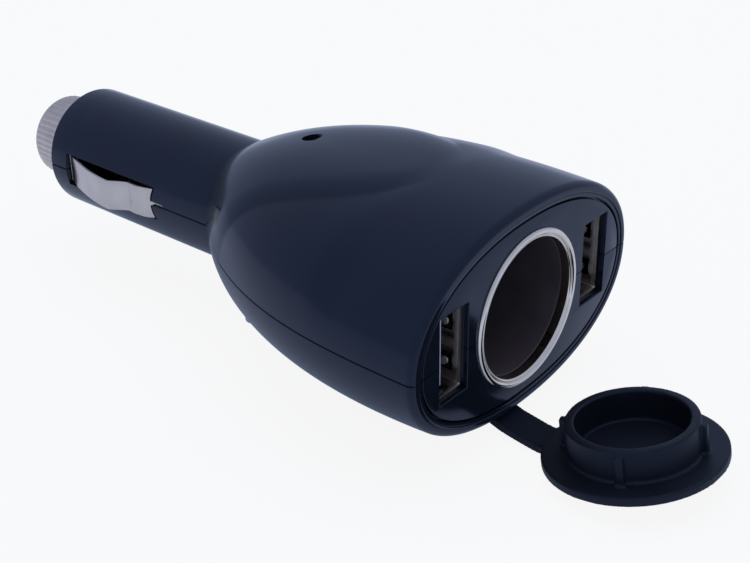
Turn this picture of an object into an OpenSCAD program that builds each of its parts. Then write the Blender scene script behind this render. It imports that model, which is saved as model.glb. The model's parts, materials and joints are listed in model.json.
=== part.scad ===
// Vehicle power plug with a socket, two charging ports and a tethered rubber cap.
// X is the width, Y runs along the plug towards its tip, Z is up. The front face is at y = 0
// and the seam between the two shells is the plane z = 0, through the plug's axis.

/* [Head] */
// half width of the head at the front, at the seam
head_half_w = 27.2; // [26.5:0.1:29]
// height of the head above the seam at the front
head_up = 16.6; // [16:0.1:18]
// depth of the head below the seam at the front
head_down = 16.1; // [15.8:0.1:17.5]
// length from the front face to the neck, where the barrel starts
neck_y = 54.5; // [52:0.5:60]
// exponent of the head's cross-section, 2 for an ellipse and more for a squarer form
squareness = 2.25; // [2.1:0.05:2.6]
// wall thickness of both shells
wall = 1.8; // [1.5:0.1:2.2]
// thickness of the front face
face_t = 2.0; // [1.6:0.1:2.4]
// how far the front rim stands in front of the face
rim_out = 0.6; // [0.4:0.05:0.9]
// radius of the shoulder where the side turns into the rim
shoulder = 0.9; // [0.6:0.1:1.2]

/* [Raised pad] */
// distance of the pad's front tip from the face
pad_front = 15.8; // [14:0.2:20]
// size factor of the pad's height, whose crest stands about 0.7 of this above the head
pad_rise = 3.3; // [2:0.1:3.6]
// width of the fillet along the pad's edge
pad_fillet = 1.6; // [1.2:0.1:2.4]

/* [Barrel] */
// outer radius of the plug's barrel
barrel_r = 10.3; // [10.1:0.05:10.4]
// distance of the barrel's end from the face
barrel_end = 93.3; // [93.3:0.1:96]
// wall thickness of the barrel
barrel_wall = 1.5; // [1.4:0.05:1.7]

/* [Plug tip] */
// radius of the tip nut where it meets the barrel
nut_r = 7.65; // [7.4:0.05:8]
// radius of the tip nut at its outer end
nut_tip_r = 7.15; // [6.9:0.05:7.3]
// length of the tip nut
nut_len = 8.7; // [8.4:0.1:9.4]
// number of grooves in the nut's grip
nut_grooves = 44; // [36:2:48]
// radius of the centre pin
pin_r = 2.44; // [2.2:0.02:2.6]
// how far the centre pin stands out of the nut
pin_out = 5.9; // [5:0.1:6.5]
// travel of the centre pin
pin_travel = 2.5; // [1.5:0.1:3]

/* [Fuse] */
// radius of the fuse's end caps
fuse_r = 3.17; // [3.1:0.01:3.18]
// length of the fuse
fuse_len = 30; // [29.5:0.1:30]
// radius of the wire of the contact spring behind the fuse
coil_wire_r = 0.3; // [0.25:0.01:0.35]
// number of turns of the contact spring
coil_turns = 6; // [5:1:7]

/* [Ground springs] */
// how far the springs' crests stand out of the barrel
crest_out = 2.36; // [1.7:0.02:2.7]
// height of the spring leaf
leaf_h = 5.2; // [4.8:0.1:5.4]
// thickness of the spring leaf
leaf_t = 0.45; // [0.4:0.01:0.5]

/* [Socket] */
// radius of the socket's well
socket_r = 10.6; // [10.5:0.05:10.65]
// depth of the socket's well
socket_deep = 36; // [35:0.5:36.5]
// wall thickness of the well
well_wall = 1.5; // [1.4:0.1:1.6]
// outer radius of the bright ring round the socket
ring_r = 12.0; // [11.9:0.05:12.2]
// how far the bright ring stands in front of the face
ring_out = 1.0; // [0.8:0.05:1.2]

/* [Charging ports] */
// distance of each port from the middle
port_x = 17.2; // [17.1:0.1:17.6]
// height of the ports' middle above the seam
port_z = 0.6; // [0:0.1:1]
// width of the opening in the face
port_w = 6.2; // [6.1:0.05:6.4]
// height of the opening in the face
port_h = 13.5; // [13.4:0.05:13.8]
// depth of the port's metal shell behind the face
port_back = 1.2; // [1:0.1:1.4]
// length of the port's metal shell
port_deep = 14; // [13.5:0.1:14.5]

/* [Indicator] */
// distance from the end of the socket's well back to the middle of the lamp hole
led_back = 1.9; // [1.8:0.05:2.4]
// radius of the lamp hole
led_hole_r = 1.5; // [1.5:0.05:1.7]

/* [Cap] */
// radius of the cap's flange
flange_r = 13.1; // [12.6:0.1:13.4]
// thickness of the cap's flange
flange_t = 1.3; // [1.2:0.1:1.6]
// outer radius of the cap's ring
plug_r = 9.4; // [9:0.05:9.6]
// wall thickness of the cap's ring
plug_wall = 1.4; // [1.2:0.1:1.8]
// height of the cap's ring above the flange
plug_h = 4.8; // [4:0.1:6]
// how far the grip ribs stand out of the ring
rib_out = 0.9; // [0.6:0.05:0.95]
// distance of the cap's middle in front of the face
cap_front = 18.8; // [18:0.1:20]
// depth of the cap's middle below the seam
cap_low = 16.4; // [16:0.1:17]
// angle by which the cap's front edge is lifted
cap_tilt = 10; // [6:0.5:12]
// turn of the grip ribs about the cap's axis
rib_turn = 20; // [0:1:60]
// width of the strap
strap_w = 5.4; // [4.8:0.1:6]
// thickness of the strap
strap_t = 1.3; // [1.1:0.05:1.5]
// sideways position of the strap
strap_x = -2.7; // [-3.5:0.1:0]

/* [Hidden] */
$fn = 64;

// small named clearances
slip = 0.08;
barrel_bore = barrel_r - barrel_wall;

// plug tip, from the nut's outer end back to the contact spring
nut_y0 = barrel_end + 0.1;
nut_y1 = nut_y0 + nut_len;
nut_wall = 2.2;
pin_flange_y1 = nut_y1 - nut_wall - 0.1;
pin_flange_y0 = pin_flange_y1 - 1.5;
fuse_y1 = pin_flange_y0;
fuse_y0 = fuse_y1 - fuse_len;
coil_y1 = fuse_y0;
coil_y0 = coil_y1 - 7.5 - pin_travel;
sleeve_r = 5.05;
sleeve_bore = 3.32;
sleeve_y1 = nut_y1 - nut_wall - 0.3;
sleeve_y0 = coil_y0 - 1.8;
sleeve_flange_r = 6.5;
collar_y0 = barrel_end - 4.9;
sleeve_flange_y0 = barrel_end - 3.9;
mid_rib_y = sleeve_y0 + 3;

// ground springs
eye_x = barrel_r - 1.9;
eye_r = 0.9;
eye_y = barrel_end - 4;
window_y0 = 65.3;
window_y1 = barrel_end - 4.7;
crest_y = 76;
valley_y = 72.2;
hump_y = 69.6;
leaf_end_y = 66.9;
crest_x = barrel_r + crest_out;
valley_x = crest_x - 1.8;
leaf_root_x = barrel_r - 0.85;
window_h = leaf_h + 0.6;

// socket
well_r = socket_r + well_wall;
spigot_r = 11.15;
ring_skirt_r = 11.55;
ring_skirt_y = 3;
floor_t = 2.6;
contact_recess = 1.2;
well_end = socket_deep + floor_t;
strip_t = 0.45;
strip_w = 6;
strip_in = socket_r + 0.1;
strip_out = strip_in + 0.6;
strip_bend_y = socket_deep - 2;

// ports and boards
port_shell_w = port_w - 0.4;
port_shell_h = port_h - 0.4;
port_wall = 0.35;
port_end = port_back + port_deep;
board_t = 1.2;
board_x = port_x - port_shell_w / 2 - board_t / 2 - 0.02;
board_h = 16.4;
board_y0 = 3;
board_y1 = 36.5;
board_face = board_x + board_t / 2;
front_bulkhead_y = 10;
rear_bulkhead_y = 32.6;
bulkhead_t = 1.4;

// strap anchor
hinge_y = 3.9;
hinge_z = -(head_down - 1.1);
bar_r = 1.0;
bar_len = strap_w + 2.4;

// outline of the head from the face to the neck
function along(y) = min(1, max(0, y / neck_y));
function half_w(y) = barrel_r + (head_half_w - barrel_r) * (1 - pow(along(y), 2.6));
function up_h(y) = barrel_r + (head_up - barrel_r) * (1 - pow(along(y), 2.4));
function down_h(y) = barrel_r + (head_down - barrel_r) * (1 - pow(along(y), 2.8));
function round_in(y) = y >= 1 ? 0
    : shoulder * (1 - sqrt(max(0, 1 - pow((1 - y) / (1 + rim_out), 2))));

// raised pad: how far along it a place is, the angle of its edge and its height
function pad_t(y) = min(1, max(0, (y - pad_front) / (neck_y - pad_front)));
function pad_edge(y) = 90 * (1 - 0.41 * pow(min(1, pad_t(y) / 0.75), 0.5)) * pow(1 - pow(min(1, pad_t(y) / 0.74), 3), 0.7);
function pad_h(y) = pad_rise * pow(pad_t(y), 0.45) * (1 - pow(pad_t(y), 4));
function smooth(t) = let (c = min(1, max(0, t))) c * c * (3 - 2 * c);
function edge_slope(y) = (pad_edge(y + 0.2) - pad_edge(y - 0.2)) / 0.4;
function edge_gap(y, a) = let (k = 0.32, q = min(a, 180 - a))
    k * (q - pad_edge(y)) / sqrt(1 + pow(k * edge_slope(y), 2));
function pad_share(y, a) = let (q = min(a, 180 - a), e = pad_edge(y))
    0.5 + 0.5 * smooth((q - e) / max(12, 90 - e));
function lift(y, a) = y <= pad_front ? 0
    : pad_h(y) * smooth(edge_gap(y, a) / pad_fillet + 0.5) * pad_share(y, a);

// one point of the upper or lower skin, at distance y and angle a round from +X
function signed_pow(v, p) = sign(v) * pow(abs(v), p);
function skin_x(y, a, off) = (half_w(y) - round_in(y) - off) * signed_pow(cos(a), 2 / squareness);
function upper_pt(y, a, off, pad) = [
    skin_x(y, a, off) + 0.6 * pad * lift(y, a) * cos(a),
    y,
    (up_h(y) - round_in(y) - off) * signed_pow(sin(a), 2 / squareness) + pad * lift(y, a) * sin(a)];
function lower_pt(y, a, off) = [
    skin_x(y, a, off),
    y,
    -(down_h(y) - round_in(y) - off) * signed_pow(sin(a), 2 / squareness)];

// lamp and its board, which lies under the roof behind the well
led_y = well_end + led_back;
led_board_w = 10;
led_board_y1 = led_y + 2.4;
led_seat = (up_h(led_board_y1) - wall)
    * pow(1 - pow(led_board_w / 2 / (half_w(led_board_y1) - wall), squareness), 1 / squareness) - 1.3;

// ground wires along the barrel's wall
wire_x = (barrel_bore - 0.64) * cos(31);
wire_z = -(barrel_bore - 0.64) * sin(31);

// closed half loft over the stations ys with steps points round each, above or below the seam
module half_loft(ys, steps, off, pad, upper) {
    rows = len(ys);
    cols = steps + 1;
    angles = [for (j = [0:steps]) 180 * j / steps];
    pts = [for (y = ys) for (a = angles) upper ? upper_pt(y, a, off, pad) : lower_pt(y, a, off)];
    skin = [for (i = [0:rows - 2]) for (j = [0:steps - 1])
        let (p = i * cols + j, q = p + cols)
        for (t = [0, 1]) t == 0 ? [p, p + 1, q] : [p + 1, q + 1, q]];
    base = concat([for (i = [0:rows - 1]) i * cols], [for (i = [rows - 1:-1:0]) i * cols + steps]);
    start = [for (j = [steps:-1:0]) j];
    end = [for (j = [0:steps]) (rows - 1) * cols + j];
    faces = concat(skin, [base], [start], [end]);
    flipped = [for (f = faces) [for (k = [len(f) - 1:-1:0]) f[k]]];
    polyhedron(points = pts, faces = upper ? faces : flipped, convexity = 6);
}

outer_ys = concat([-rim_out, -0.45 * rim_out, 0.1, 1, 4, 8, 12, 15],
                  [for (i = [0:10]) pad_front + 0.4 + i * 1.1 + i * i * 0.11],
                  [for (i = [1:8]) 38.7 + (neck_y - 38.7) * i / 8]);
inner_ys = concat([face_t], [for (i = [1:9]) face_t + (neck_y - 3 - face_t) * i / 9]);

// outline of the front at a given inset, as a plate from y0 to y1
module front_plate(inset, y0, y1) {
    n = 72;
    w = half_w(0) - inset;
    translate([0, y1, 0])
        rotate([90, 0, 0])
            linear_extrude(height = y1 - y0)
                polygon([for (i = [0:n - 1]) let (a = 360 * i / n, h = (sin(a) >= 0 ? up_h(0) : down_h(0)) - inset)
                    [w * signed_pow(cos(a), 2 / squareness), h * signed_pow(sin(a), 2 / squareness)]]);
}

module along_y(y0, y1, r) {
    translate([0, y0, 0])
        rotate([-90, 0, 0])
            cylinder(r = r, h = y1 - y0);
}

module block(x0, x1, y0, y1, z0, z1) {
    translate([x0, y0, z0])
        cube([x1 - x0, y1 - y0, z1 - z0]);
}

// hollow of one shell: the two bulkheads stay, with a notch where the lamp's board passes
module hollow(upper) {
    difference() {
        half_loft(inner_ys, 20, wall, 0.6, upper);
        difference() {
            for (y = [front_bulkhead_y, rear_bulkhead_y])
                block(-40, 40, y, y + bulkhead_t, -40, 40);
            block(-led_board_w / 2 - 0.3, led_board_w / 2 + 0.3, well_end, led_board_y1 + 0.3, led_seat - 1.3, 40);
        }
    }
}

// everything that both shells are cut by
module fittings() {
    front_plate(1.5, -2, -0.35);
    front_plate(2.2, -2, 0);
    difference() {
        front_plate(2.2, -0.1, 0.4);
        front_plate(2.5, -0.2, 0.5);
    }
    along_y(-1, 4, ring_skirt_r + 0.05);
    along_y(3, well_end + 0.3, well_r + 0.05);
    along_y(neck_y - 6, collar_y0, barrel_bore);
    along_y(collar_y0 - 1, barrel_end + 1, sleeve_r + 0.02);
    along_y(sleeve_flange_y0, sleeve_flange_y0 + 1.6, sleeve_flange_r + 0.02);
    for (s = [-1, 1]) {
        block(s * port_x - port_w / 2, s * port_x + port_w / 2, -1, port_end + 0.2,
              port_z - port_h / 2, port_z + port_h / 2);
        block(s * board_x - board_t / 2 - 0.05, s * board_x + board_t / 2 + 0.05, board_y0 - 0.1,
              board_y1 + 0.2, -board_h / 2 - 0.05, board_h / 2 + 0.05);
        block(s > 0 ? barrel_bore - 1.4 : -barrel_r - 4, s > 0 ? barrel_r + 4 : 1.4 - barrel_bore,
              window_y0, window_y1, -window_h / 2, window_h / 2);
        translate([s * eye_x, eye_y, -window_h / 2])
            cylinder(r = eye_r + slip, h = window_h);
        block(s > 0 ? eye_x - 0.6 : -barrel_r - 4, s > 0 ? barrel_r + 4 : 0.6 - eye_x, window_y1 - 0.2, eye_y - 0.2,
              -window_h / 2, window_h / 2);
        block(s > 0 ? barrel_bore - 0.3 : -barrel_r - 0.7, s > 0 ? barrel_r + 0.7 : 0.3 - barrel_bore,
              window_y0 - 2.4, window_y0 + 0.1, -0.5, 0.5);
    }
}

// rib in the barrel that carries the inner end of the fuse sleeve
module sleeve_rib(upper) {
    difference() {
        intersection() {
            along_y(mid_rib_y, mid_rib_y + 1.4, barrel_bore + 0.3);
            block(-20, 20, 0, 120, upper ? 0 : -20, upper ? 20 : 0);
        }
        along_y(mid_rib_y - 1, mid_rib_y + 3, sleeve_r + 0.02);
        for (s = [-1, 1])
            translate([s * wire_x, mid_rib_y - 1, wire_z])
                rotate([-90, 0, 0])
                    cylinder(r = 0.7, h = 4);
    }
}

module barrel_half(upper) {
    intersection() {
        translate([0, neck_y - 3, 0])
            rotate([-90, 0, 0])
                union() {
                    cylinder(r = barrel_r, h = barrel_end - neck_y + 2.6);
                    translate([0, 0, barrel_end - neck_y + 2.6])
                        cylinder(r1 = barrel_r, r2 = barrel_r - 0.4, h = 0.4);
                }
        block(-20, 20, 0, 120, upper ? 0 : -20, upper ? 20 : 0);
    }
}

screw_x = 17.6;
screw_y = 36.4;
screw_seat = -5.6;

module upper_shell() {
    color([0.07, 0.08, 0.12])
        difference() {
            union() {
                difference() {
                    union() {
                        half_loft(outer_ys, 36, 0, 1, true);
                        barrel_half(true);
                    }
                    hollow(true);
                    fittings();
                }
                sleeve_rib(true);
                intersection() {
                    half_loft(inner_ys, 20, wall - 0.6, 0.6, true);
                    union() {
                        for (s = [-1, 1])
                            translate([s * screw_x, screw_y, 0])
                                cylinder(r = 2.3, h = 20);
                        for (s = [-1, 1])
                            translate([s * 3.8, led_y, led_seat])
                                cylinder(r = 0.9, h = 20);
                    }
                }
            }
            for (s = [-1, 1])
                translate([s * screw_x, screw_y, -1])
                    cylinder(r = 1.02, h = 5.5);
            translate([0, led_y, led_seat + 0.5])
                cylinder(r = led_hole_r, h = 20);
        }
}

// block under the rim that holds the strap's bar
module strap_block() {
    block(strap_x - bar_len / 2 - 1, strap_x + bar_len / 2 + 1, face_t - 0.2, hinge_y + 2.6,
          -head_down + 0.9, hinge_z + 2);
}

module lower_shell() {
    color([0.07, 0.08, 0.12])
        difference() {
            union() {
                difference() {
                    union() {
                        half_loft(outer_ys, 30, 0, 0, false);
                        barrel_half(false);
                    }
                    hollow(false);
                    fittings();
                }
                sleeve_rib(false);
                strap_block();
                intersection() {
                    half_loft(inner_ys, 20, wall - 0.6, 0, false);
                    for (s = [-1, 1])
                        translate([s * screw_x, screw_y, -20])
                            cylinder(r = 2.9, h = 20);
                }
            }
            for (s = [-1, 1]) {
                translate([s * screw_x, screw_y, -20])
                    cylinder(r = 2.1, h = 20 + screw_seat);
                translate([s * screw_x, screw_y, -20])
                    cylinder(r = 1.1, h = 21);
            }
            translate([strap_x - bar_len / 2 - 0.1, hinge_y, hinge_z])
                rotate([0, 90, 0])
                    cylinder(r = bar_r + 0.06, h = bar_len + 0.2);
            translate([strap_x - strap_w / 2 - 0.2, hinge_y, hinge_z])
                rotate([90, 0, 90])
                    linear_extrude(height = strap_w + 0.4)
                        polygon([[-1.3, 0.35], [0.8, 0], [2, -2.2], [-4.2, -2.2]]);
        }
}

module tip_nut() {
    thread_r = sleeve_r + slip;
    color([0.62, 0.61, 0.63])
        difference() {
            translate([0, nut_y0, 0])
                rotate([-90, 0, 0])
                    rotate_extrude()
                        polygon([[thread_r, 0], [nut_r - 0.3, 0], [nut_r, 0.3], [nut_tip_r + 0.05, nut_len - 0.9],
                                 [nut_tip_r - 0.8, nut_len], [pin_r + slip, nut_len],
                                 [pin_r + slip, nut_len - nut_wall], [thread_r, nut_len - nut_wall]]);
            for (i = [0:nut_grooves - 1])
                rotate([0, 360 * i / nut_grooves, 0])
                    translate([nut_r + 0.12, nut_y0 + 0.9, 0])
                        rotate([-90, 0, atan2(nut_r - nut_tip_r, nut_len)])
                            cylinder(r = 0.3, h = nut_len - 1.5, $fn = 12);
        }
}

module centre_pin() {
    tip_y = nut_y1 + pin_out;
    dome = 2.1;
    steps = 8;
    arc = [for (i = [0:steps]) let (a = 90 * i / steps) [max(0, pin_r * cos(a)), tip_y - dome + dome * sin(a)]];
    color([0.66, 0.68, 0.72])
        rotate([-90, 0, 0])
            rotate_extrude()
                polygon(concat([[0, pin_flange_y0], [3.1, pin_flange_y0], [3.1, pin_flange_y1], [pin_r, pin_flange_y1]],
                               arc));
}

module fuse_cap(y0, front) {
    len = 6;
    color([0.75, 0.75, 0.77])
        difference() {
            along_y(y0, y0 + len, fuse_r);
            along_y(front ? y0 - 1 : y0 + 0.4, front ? y0 + len - 0.4 : y0 + len + 1, 2.9);
        }
}

module fuse_tube() {
    color([0.85, 0.9, 0.92, 0.4])
        difference() {
            along_y(fuse_y0 + 0.4, fuse_y1 - 0.4, 2.9);
            along_y(fuse_y0, fuse_y1, 2.3);
        }
}

module fuse_wire() {
    color([0.7, 0.7, 0.7])
        along_y(fuse_y0 + 0.4, fuse_y1 - 0.4, 0.2);
}

// helical spring, drawn as a chain of rings of six points joined along the helix
module contact_spring() {
    per_turn = 14;
    mean_r = 2.5;
    sides = 6;
    count = coil_turns * per_turn;
    span = coil_y1 - coil_y0 - 2 * coil_wire_r;
    pts = [for (i = [0:count]) for (j = [0:sides - 1])
        let (a = 360 * i / per_turn, b = 360 * j / sides, r = mean_r + coil_wire_r * cos(b))
        [r * cos(a), coil_y0 + coil_wire_r + span * i / count + coil_wire_r * sin(b), r * sin(a)]];
    side = [for (i = [0:count - 1]) for (j = [0:sides - 1])
        let (p = i * sides + j, q = i * sides + (j + 1) % sides)
        for (t = [0, 1]) t == 0 ? [p, q, p + sides] : [q, q + sides, p + sides]];
    color([0.7, 0.71, 0.74])
        polyhedron(points = pts,
                   faces = concat(side, [[for (j = [sides - 1:-1:0]) j]], [[for (j = [0:sides - 1]) count * sides + j]]),
                   convexity = 10);
}

module fuse_sleeve() {
    color([0.72, 0.6, 0.32])
        difference() {
            union() {
                along_y(sleeve_y0, sleeve_y1, sleeve_r);
                along_y(sleeve_flange_y0 + 0.05, sleeve_flange_y0 + 1.55, sleeve_flange_r);
            }
            along_y(sleeve_y0 + 1.2, sleeve_y1 + 1, sleeve_bore);
            along_y(sleeve_y0 - 1, sleeve_y0 + 2, 1.4);
        }
}

module rear_contact() {
    color([0.75, 0.62, 0.34])
        union() {
            along_y(coil_y0 - 0.6, coil_y0, 3.1);
            along_y(sleeve_y0 - 0.4, coil_y0 - 0.3, 1.35);
            along_y(sleeve_y0 - 0.8, sleeve_y0, 2.2);
        }
}

// outer face of the spring leaf as a distance from the axis
function leaf_x(y) = y > crest_y
    ? crest_x - (crest_x - leaf_root_x) * pow((y - crest_y) / (eye_y - 0.8 - crest_y), 1.15)
    : y > valley_y
    ? valley_x + (crest_x - valley_x) * smooth((y - valley_y) / (crest_y - valley_y))
    : y > hump_y
    ? valley_x + 0.12 * sin(180 * (valley_y - y) / (valley_y - hump_y))
    : valley_x - 1.1 * pow((hump_y - y) / (hump_y - leaf_end_y), 2);

module ground_spring(s) {
    n = 44;
    top = eye_y - 0.5;
    ys = [for (i = [0:n]) leaf_end_y + (top - leaf_end_y) * i / n];
    outer = [for (y = ys) [s * leaf_x(y), y]];
    inner = [for (i = [n:-1:0]) [s * (leaf_x(ys[i]) - leaf_t), ys[i]]];
    color([0.68, 0.69, 0.74])
        difference() {
            union() {
                translate([0, 0, -leaf_h / 2])
                    linear_extrude(height = leaf_h)
                        polygon(concat(outer, inner));
                translate([s * eye_x, eye_y, -leaf_h / 2])
                    cylinder(r = eye_r, h = leaf_h);
                block(s > 0 ? valley_x - 1.5 : 1.1 - valley_x, s > 0 ? valley_x - 1.1 : 1.5 - valley_x,
                      leaf_end_y - 1.6, leaf_end_y + 0.5, -0.35, 0.35);
            }
            translate([s * (valley_x - 3), leaf_end_y - 2.9, 0])
                rotate([0, 90, 0])
                    difference() {
                        translate([0, 0, -3])
                            cylinder(r = 3.3, h = 9);
                        translate([-0.36, -8, -4])
                            cube([0.72, 16, 11]);
                    }
        }
}

// bright ring on the face, with a skirt that is held between the well and the shells
module socket_ring() {
    lip = ring_r - socket_r - 0.05;
    steps = 10;
    top = [for (i = [0:steps]) let (a = 180 * i / steps)
        [ring_r - lip / 2 + lip / 2 * cos(a), -(ring_out - 0.35) * sin(a) - 0.35]];
    color([0.85, 0.85, 0.87])
        rotate([-90, 0, 0])
            rotate_extrude()
                polygon(concat(top, [[ring_r - lip, -0.02], [spigot_r + 0.02, -0.02], [spigot_r + 0.02, ring_skirt_y],
                                     [ring_skirt_r, ring_skirt_y], [ring_skirt_r, -0.02], [ring_r, -0.02]]));
}

module strip_arc(r0, r1, y0, y1, w) {
    intersection() {
        difference() {
            along_y(y0, y1, r1);
            along_y(y0 - 1, y1 + 1, r0);
        }
        block(-w / 2, w / 2, y0 - 1, y1 + 1, 0, 20);
    }
}

module socket_well() {
    color([0.11, 0.08, 0.07])
        difference() {
            union() {
                along_y(0, well_end, spigot_r);
                along_y(ring_skirt_y + 0.05, well_end, well_r);
            }
            along_y(-1, socket_deep, socket_r);
            strip_arc(socket_r - 1, strip_in + strip_t + 0.05, 6, strip_bend_y + strip_t, strip_w + 0.1);
            strip_arc(socket_r - 1, strip_out + strip_t + 0.05, strip_bend_y, strip_bend_y + strip_t + 0.05,
                      strip_w + 0.1);
            strip_arc(strip_out - 0.05, strip_out + strip_t + 0.05, strip_bend_y, well_end + 1, strip_w + 0.1);
            along_y(socket_deep - 1, socket_deep + contact_recess, 5);
            along_y(socket_deep - 1, well_end + 1, 1.55);
        }
}

module socket_ground_strip() {
    color([0.7, 0.7, 0.72])
        union() {
            strip_arc(strip_in, strip_in + strip_t, 6.1, strip_bend_y + strip_t, strip_w);
            strip_arc(strip_in, strip_out + strip_t, strip_bend_y, strip_bend_y + strip_t, strip_w);
            strip_arc(strip_out, strip_out + strip_t, strip_bend_y, well_end + 0.4, strip_w);
        }
}

module socket_centre_contact() {
    color([0.75, 0.62, 0.34])
        union() {
            translate([0, socket_deep + contact_recess, 0])
                rotate([90, 0, 0])
                    cylinder(r1 = 4.2, r2 = 3, h = 1);
            along_y(socket_deep + 0.5, well_end + 0.5, 1.5);
            along_y(well_end, well_end + 0.7, 2.6);
        }
}

// port parts, drawn about the port's middle with the opening at y = port_back
module port_shell_at() {
    w = port_shell_w;
    h = port_shell_h;
    color([0.78, 0.79, 0.82])
        union() {
            difference() {
                block(-w / 2, w / 2, port_back, port_end, -h / 2, h / 2);
                block(port_wall - w / 2, w / 2 - port_wall, port_back - 1, port_end - 0.3,
                      port_wall - h / 2, h / 2 - port_wall);
                for (z = [-3.15, 3.15])
                    block(w / 2 - 1, w / 2 + 1, port_back + 1.6, port_back + 8, z - 1.4, z + 1.4);
            }
            for (z = [-3.15, 3.15]) {
                block(w / 2 - port_wall, w / 2, port_back + 2.9, port_back + 8.2, z - 0.75, z + 0.75);
                translate([w / 2 - port_wall, port_back + 2.9, z])
                    rotate([0, 90, 0])
                        cylinder(r = 0.75, h = port_wall);
            }
        }
}

module port_tongue_at() {
    w = port_shell_w;
    h = port_shell_h;
    color([0.86, 0.87, 0.9])
        union() {
            block(-w / 2 + port_wall + 0.5, -w / 2 + port_wall + 2.4, port_back + 0.9, port_end - 2, -5.55, 5.55);
            block(-w / 2 + port_wall + 0.02, w / 2 - port_wall - 0.02, port_end - 3.2, port_end - 0.32,
                  -h / 2 + port_wall + 0.02, h / 2 - port_wall - 0.02);
        }
}

module port_contacts_at() {
    x = -port_shell_w / 2 + port_wall + 2.4;
    color([0.8, 0.66, 0.36])
        for (z = [-3.5, -1, 1, 3.5])
            block(x, x + 0.2, port_back + 2, port_end - 3.2, z - 0.5, z + 0.5);
}

module at_port(s) {
    translate([s * port_x, 0, port_z])
        children();
}

module board(s) {
    color([0.1, 0.32, 0.18])
        block(s * board_x - board_t / 2, s * board_x + board_t / 2, board_y0, board_y1,
              -board_h / 2, board_h / 2);
}

module chip() {
    color([0.08, 0.08, 0.09])
        block(-board_face - 1.5, -board_face, port_end + 2.8, port_end + 7.8, -2, 2);
}

module inductor() {
    color([0.2, 0.2, 0.21])
        translate([-board_face, rear_bulkhead_y - 4.8, 0])
            rotate([0, -90, 0])
                union() {
                    cylinder(r = 3.2, h = 0.8);
                    cylinder(r = 2.2, h = 3.6);
                    translate([0, 0, 3.2])
                        cylinder(r = 3.2, h = 0.8);
                }
}

module capacitor() {
    mid_y = (port_end + rear_bulkhead_y) / 2;
    len = half_w(mid_y) - wall - board_face - 3.4;
    color([0.12, 0.14, 0.3])
        translate([board_face, mid_y, 0])
            rotate([0, 90, 0])
                union() {
                    cylinder(r = 3, h = len - 0.3);
                    cylinder(r = 2.85, h = len);
                }
}

module led() {
    top = up_h(led_y) + pad_h(led_y) - 1.2;
    color([0.7, 0.75, 0.8])
        translate([0, led_y, 0])
            union() {
                translate([0, 0, led_seat])
                    cylinder(r = 1.75, h = 0.9);
                translate([0, 0, led_seat])
                    cylinder(r = led_hole_r - 0.1, h = top - led_seat - led_hole_r);
                translate([0, 0, top - led_hole_r])
                    sphere(r = led_hole_r - 0.1);
            }
}

module led_board() {
    color([0.1, 0.32, 0.18])
        block(-led_board_w / 2, led_board_w / 2, well_end + 0.5, led_board_y1, led_seat - 1, led_seat);
}

// wire through the points given, which all run the same way along Y
module wire(pts, r) {
    sides = 10;
    n = len(pts);
    ring = [for (p = pts) for (j = [0:sides - 1]) let (a = 360 * j / sides) [p[0] + r * cos(a), p[1], p[2] + r * sin(a)]];
    side = [for (i = [0:n - 2]) for (j = [0:sides - 1])
        let (p = i * sides + j, q = i * sides + (j + 1) % sides)
        for (t = [0, 1]) t == 0 ? [p, p + sides, q] : [q, p + sides, q + sides]];
    polyhedron(points = ring,
               faces = concat(side, [[for (j = [0:sides - 1]) j]], [[for (j = [sides - 1:-1:0]) (n - 1) * sides + j]]),
               convexity = 6);
}

function between(a, b, t) = a + (b - a) * t;

module positive_wire() {
    y0 = sleeve_y0 - 0.8;
    y1 = well_end + 0.7;
    color([0.6, 0.1, 0.1])
        wire([[0, y0, 0], [0, between(y0, y1, 0.12), 0], [1.2, between(y0, y1, 0.25), -1],
              [2.5, between(y0, y1, 0.45), -2], [2.5, between(y0, y1, 0.65), -2],
              [1.2, between(y0, y1, 0.8), -0.8], [0, between(y0, y1, 0.92), 0], [0, y1, 0]], 0.6);
}

module ground_wire(s) {
    y0 = neck_y - 5;
    y1 = board_y1 + 3.1;
    color([0.08, 0.08, 0.08])
        wire([[s * wire_x, collar_y0 - 0.2, wire_z], [s * wire_x, y0, wire_z],
              [s * between(wire_x, board_x - 0.4, 0.4), between(y0, y1, 0.4), between(wire_z, -4.6, 0.4)],
              [s * between(wire_x, board_x - 0.4, 0.8), between(y0, y1, 0.75), between(wire_z, -4.6, 0.8)],
              [s * (board_x - 0.4), y1, -4.6], [s * board_x, board_y1 + 1.5, -4.6], [s * board_x, board_y1, -4.6]], 0.5);
}

module screw(s) {
    color([0.6, 0.6, 0.62])
        translate([s * screw_x, screw_y, screw_seat])
            difference() {
                union() {
                    translate([0, 0, -1.3])
                        cylinder(r = 1.95, h = 1.3);
                    translate([0, 0, -0.5])
                        cylinder(r = 0.98, h = 9.5);
                }
                for (a = [0, 90])
                    rotate([0, 0, a])
                        translate([-1.1, -0.2, -1.6])
                            cube([2.2, 0.4, 1.2]);
            }
}

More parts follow.
